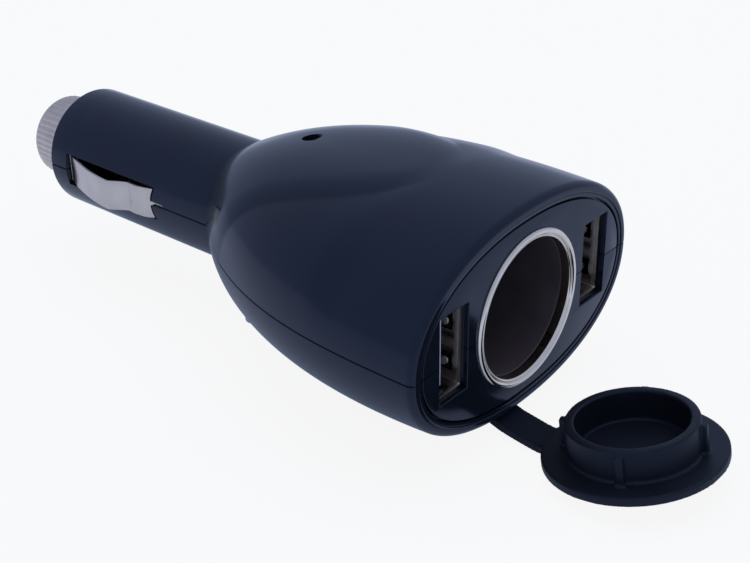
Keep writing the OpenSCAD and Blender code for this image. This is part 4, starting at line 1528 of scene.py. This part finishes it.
@dataclass
class RubberCap:
    """The rubber cap with its grip ribs, its strap and the strap's bar, one moulding.

    Attributes:
        flange_r: Radius of the flange.
        flange_t: Thickness of the flange.
        ring_r: Outer radius of the ring.
        ring_wall: Wall of the ring.
        ring_h: Height of the ring above the flange.
        ribs: Number of grip ribs.
        rib_out: How far they stand out.
        rib_w: Their width.
        rib_turn: Their turn about the cap's axis, in degrees.
        front: Distance of the cap's middle in front of the face.
        low: Depth of the cap's middle below the seam.
        tilt: Angle by which its front edge is lifted, in degrees.
        strap_x: Place of the strap across the head.
        strap_w: Width of the strap.
        strap_t: Thickness of the strap.
        bar_r: Radius of the bar.
        bar_out: How far it stands out on each side of the strap.
        voxel: Grid of the moulding, which sets how soft its edges come out.
    """

    flange_r: float = 13.1
    flange_t: float = 1.3
    ring_r: float = 9.4
    ring_wall: float = 1.4
    ring_h: float = 4.8
    ribs: int = 4
    rib_out: float = 0.9
    rib_w: float = 1.3
    rib_turn: float = 20.0
    front: float = 18.8
    low: float = 16.4
    tilt: float = 10.0
    strap_x: float = -2.7
    strap_w: float = 5.4
    strap_t: float = 1.3
    bar_r: float = 1.0
    bar_out: float = 1.2
    voxel: float = 0.19

    def to_cap(self, y: float, z: float) -> Pair:
        """Turns a place in the frame into the cap's own untilted place.

        Args:
            y: Y in the frame.
            z: Z in the frame.

        Returns:
            Y and Z from the cap's middle.
        """
        a = math.radians(self.tilt)
        dy = y + self.front
        dz = z + self.low
        return (dy * math.cos(a) - dz * math.sin(a), dy * math.sin(a) + dz * math.cos(a))

    def rib_tree(self) -> Tree:
        """Builds the tree that sets the grip ribs round the ring.

        Returns:
            The tree, with inputs for the ribs' number, size and place.
        """
        floats = dict.fromkeys(("Circle Radius", "Turn", "Height"), "Float")
        kinds = {"Count": "Int", **floats, "Size": "Vector", "Material": "Material"}
        tree, given = new_group("grip_ribs", kinds)
        ring = {"Vertices": given["Count"], "Radius": given["Circle Radius"]}
        circle = add_node(tree, "GeometryNodeMeshCircle", inputs=ring)
        rib = add_node(tree, "GeometryNodeMeshCube", inputs={"Size": given["Size"]})
        index = add_node(tree, "GeometryNodeInputIndex")
        step = add_node(tree, MATH, {"operation": "DIVIDE"}, {0: 2 * math.pi, 1: given["Count"]})
        around = add_node(tree, MATH, {"operation": "MULTIPLY"}, {0: index, 1: step})
        upright = (around, given["Height"], given["Turn"])
        turn, lift, spin = (add_node(tree, COMBINE, inputs={2: z}) for z in upright)
        spots = {"Points": circle, "Instance": rib, "Rotation": turn}
        ribs = add_node(tree, "GeometryNodeInstanceOnPoints", inputs=spots)
        move = {"Geometry": ribs, "Translation": lift, "Rotation": spin}
        return end_group(tree, add_node(tree, "GeometryNodeTransform", inputs=move), given["Material"])

    def grip(self) -> Piece:
        """Makes the grip ribs in the cap's own place.

        Returns:
            The ribs, as one mesh.
        """
        tall = self.flange_t / 2 + self.ring_h - 0.5
        holder = as_object("grip_ribs", [(0, 0, 0)], [])
        values = {
            "Count": self.ribs,
            "Circle Radius": (self.ring_r + self.rib_out / 2 - 0.3) * MM,
            "Turn": math.radians(self.rib_turn),
            "Height": tall / 2 * MM,
            "Size": ((self.rib_out + 0.6) * MM, self.rib_w * MM, tall * MM),
            "Material": MOULDED_RUBBER.make(),
        }
        run_tree(holder, self.rib_tree(), values)
        return holder

    def strap(self) -> Piece:
        """Makes the strap from its bar to the flange, in the cap's own place.

        Returns:
            The strap with its bar.
        """
        hy, hz = HINGE
        a = math.radians(self.tilt)
        rear_y = -self.front + self.flange_r * math.cos(a)
        rear_z = -self.low - self.flange_r * math.sin(a)
        steps = ((0.0, 0.0), (0.5, 1.0), (1.4, 1.9), (2.8, 2.5), (4.8, 2.95))
        mids = [(hy - forward, hz - down) for forward, down in steps]
        mids += [(rear_y - inside * math.cos(a), rear_z + inside * math.sin(a)) for inside in (0.4, 3.4)]
        fine = self.curve([np.array(self.to_cap(y, z)) for y, z in mids], 8)
        under = []
        over = []
        for i, point in enumerate(fine):
            way = fine[min(len(fine) - 1, i + 1)] - fine[max(0, i - 1)]
            way = way / np.linalg.norm(way)
            across = np.array([-way[1], way[0]]) * self.strap_t / 2
            under.append(tuple(point + across))
            over.append(tuple(point - across))
        left = self.strap_x - self.strap_w / 2
        right = self.strap_x + self.strap_w / 2
        strap = prism(under + over[::-1], (left, right), Axis.X)
        bar = self.to_cap(*HINGE)
        ends = ((left - self.bar_out, *bar), (right + self.bar_out, *bar))
        combine(strap, [rod(ends[0], ends[1], self.bar_r, steps=48)], Join.ADD)
        return strap

    def curve(self, points: list[np.ndarray], steps: int) -> list[np.ndarray]:
        """Runs a smooth curve through points.

        Args:
            points: The points to pass through.
            steps: Number of steps between two of them.

        Returns:
            The points along the curve.
        """
        ends = [2 * points[0] - points[1], *points, 2 * points[-1] - points[-2]]
        made = []
        for p0, p1, p2, p3 in zip(ends, ends[1:], ends[2:], ends[3:]):
            bend = 2 * p0 - 5 * p1 + 4 * p2 - p3
            twist = 3 * p1 - p0 - 3 * p2 + p3
            for k in range(steps):
                t = k / steps
                made.append(0.5 * (2 * p1 + (p2 - p0) * t + bend * t * t + twist * t**3))
        made.append(points[-1])
        return made

    def build(self) -> None:
        """Moulds the cap in one piece, tilts it to its place, dresses it and sets it in place of the solid
        model's cap.
        """
        base = self.flange_t / 2
        top = base + self.ring_h
        discs = (
            (self.flange_r, -base, base),
            (self.ring_r, 0, top),
            (self.ring_r - self.ring_wall, base, top + 1),
        )
        cap, ring, cup = (rod((0, 0, low), (0, 0, high), radius, steps=192) for radius, low, high in discs)
        cap.name = "rubber_cap"
        combine(cap, [ring, self.grip(), self.strap()], Join.ADD)
        combine(cap, [cup], Join.CUT)
        mould = cap.modifiers.new("mould", "REMESH")
        mould.mode = "VOXEL"
        mould.voxel_size = self.voxel * MM
        smooth = cap.modifiers.new("smooth", "SMOOTH")
        smooth.factor = 0.5
        smooth.iterations = 5
        settle(cap)
        tilt = Matrix.Rotation(-math.radians(self.tilt), 4, "X")
        cap.data.transform(Matrix.Translation((0, -self.front * MM, -self.low * MM)) @ tilt)
        cap.data.shade_smooth()
        place(cap, "cap", "cap_rubber", "socket_cap")


# Studio


@dataclass
class Studio:
    """Camera, floor and lights.

    Attributes:
        focal_px: Focal length in pixels of the photograph's width.
        width_px: Width of the photograph.
        sensor: Width of the camera's sensor.
        eye: Place of the camera in millimetres.
        azimuth: Turn of the view, in degrees.
        elevation: Height of the view above the horizon, in degrees.
        roll: Roll of the view, in degrees.
        floor_size: Half the width of the floor.
        floor_glow: Share of white in the floor as the camera sees it.
        gleam: Share of it as the object mirrors it.
        sky: Strength of the surround.
        target: Point that the lamps face.
    """

    focal_px: float = 1387.61
    width_px: float = 750.0
    sensor: float = 36.0
    eye: Point = (-142.888, -93.296, 99.172)
    azimuth: float = -49.613
    elevation: float = 29.16
    roll: float = -0.921
    floor_size: float = 3000.0
    floor_glow: float = 0.9
    gleam: float = 0.17
    sky: float = 0.6
    target: Point = (0.0, 35.0, 0.0)

    def camera(self) -> None:
        """Places the camera at the photograph's view."""
        a = math.radians(self.azimuth)
        e = math.radians(self.elevation)
        r = math.radians(self.roll)
        back = Vector((math.sin(a) * math.cos(e), -math.cos(a) * math.cos(e), math.sin(e)))
        right = Vector((math.cos(a), math.sin(a), 0))
        up = back.cross(right)
        turned_right = right * math.cos(r) + up * math.sin(r)
        turned_up = up * math.cos(r) - right * math.sin(r)
        data = bpy.data.cameras.new("photo_camera")
        data.sensor_width = self.sensor
        data.lens = self.sensor * self.focal_px / self.width_px
        data.clip_start = 0.01
        data.clip_end = 20.0
        camera = bpy.data.objects.new("photo_camera", data)
        bpy.context.scene.collection.objects.link(camera)
        pose = Matrix((turned_right, turned_up, back)).transposed().to_4x4()
        pose.translation = Vector(self.eye) * MM
        camera.matrix_world = pose
        bpy.context.scene.camera = camera

    def seen(self, tree: Tree) -> tuple[bpy.types.NodeOutputs, bpy.types.Node]:
        """Adds the test of whether the camera sees a point, straight or through glass.

        Args:
            tree: The tree of the floor or the world.

        Returns:
            All that is known of the light's path, and the test.
        """
        ray = add_node(tree, "ShaderNodeLightPath").outputs
        kinds = {0: ray["Is Camera Ray"], 1: ray["Is Transmission Ray"]}
        return ray, add_node(tree, MATH, {"operation": "MAXIMUM"}, kinds)

    def floor(self) -> None:
        """Lays a pale floor under the object, which the camera sees as white."""
        level = (CAD_BOX[0].z / MM) - 0.05
        far = self.floor_size
        corners = [(-far, -far, level), (far, -far, level), (far, far, level), (-far, far, level)]
        floor = as_object("floor", corners, [[0, 1, 2, 3]])
        material = bpy.data.materials.new("pale_floor")
        tree = empty_tree(material)
        paper = add_node(tree, "ShaderNodeBsdfDiffuse", inputs={"Color": linear("#f4f4f4")})
        ray, seen = self.seen(tree)
        # What the object mirrors of the floor is a little cooler than what the camera sees
        tones = {"Fac": seen, "Color1": linear("#b4c9f8"), "Color2": linear("#ffffff")}
        hue = add_node(tree, "ShaderNodeMixRGB", inputs=tones)
        glow = add_node(tree, "ShaderNodeEmission", inputs={"Color": hue, "Strength": 1.0})
        either = add_node(tree, MATH, {"operation": "MAXIMUM"}, {0: seen, 1: ray["Is Glossy Ray"]})
        mirrored = add_node(tree, MATH, {"operation": "MULTIPLY"}, {0: either, 1: self.gleam})
        terms = {0: seen, 1: self.floor_glow - self.gleam, 2: mirrored}
        share = add_node(tree, MATH, {"operation": "MULTIPLY_ADD"}, terms)
        mix = add_node(tree, "ShaderNodeMixShader", inputs={0: share, 1: paper, 2: glow})
        add_node(tree, "ShaderNodeOutputMaterial", inputs={"Surface": mix})
        floor.data.materials.append(material)

    def world(self) -> None:
        """Sets a soft bluish surround that the camera sees as white."""
        world = bpy.data.worlds.new("studio")
        tree = empty_tree(world)
        bpy.context.scene.world = world
        soft, white = (
            add_node(tree, "ShaderNodeBackground", inputs={"Color": linear(colour), "Strength": strength})
            for colour, strength in (("#c0cff4", self.sky), ("#ffffff", 1.0))
        )
        mix = add_node(tree, "ShaderNodeMixShader", inputs={0: self.seen(tree)[1], 1: soft, 2: white})
        add_node(tree, "ShaderNodeOutputWorld", inputs={"Surface": mix})

    def lamp(self, name: str, spot: Point, size: Pair, power: float) -> None:
        """Hangs a soft box that faces the object and isn't mirrored in it.

        Args:
            name: Name of the lamp.
            spot: Its place in millimetres.
            size: Its width and height in millimetres.
            power: Its power in watts.
        """
        data = bpy.data.lights.new(name, "AREA")
        data.shape = "RECTANGLE"
        data.size = size[0] * MM
        data.size_y = size[1] * MM
        data.energy = power
        lamp = bpy.data.objects.new(name, data)
        bpy.context.scene.collection.objects.link(lamp)
        eye = Vector(spot) * MM
        pose = (eye - Vector(self.target) * MM).to_track_quat("Z", "Y").to_matrix().to_4x4()
        pose.translation = eye
        lamp.matrix_world = pose
        lamp.visible_glossy = False

    def build(self) -> None:
        """Sets the camera, the surround, the floor and the lamps."""
        bpy.context.scene.view_settings.view_transform = "Standard"
        self.camera()
        self.world()
        self.floor()
        self.lamp("top_box", (40, 60, 560), (620, 520), 0.85)
        self.lamp("back_box", (330, 380, 220), (260, 160), 0.05)


def dress_nodes() -> None:
    """Gives every node of the solid model its finish."""
    slots = {row["node"]: row["material_slot"] for row in frame["record"]["subparts"]}
    for node, obj in frame["nodes"].items():
        SLOT_FINISH[slots[node]].dress(obj)
    LOG.info("%d nodes dressed", len(frame["nodes"]))


def main() -> None:
    """Builds the studio and every sub-assembly in order."""
    logging.basicConfig(level=logging.INFO, format="%(name)s: %(message)s")
    Studio().build()
    dress_nodes()
    Housing(HeadForm()).build()
    PlugTip().build()
    for side in Side:
        GroundSpring(side).build()
        ChargingPort(side).build()
    Socket().build()
    RubberCap().build()


if __name__ == "__main__":
    main()
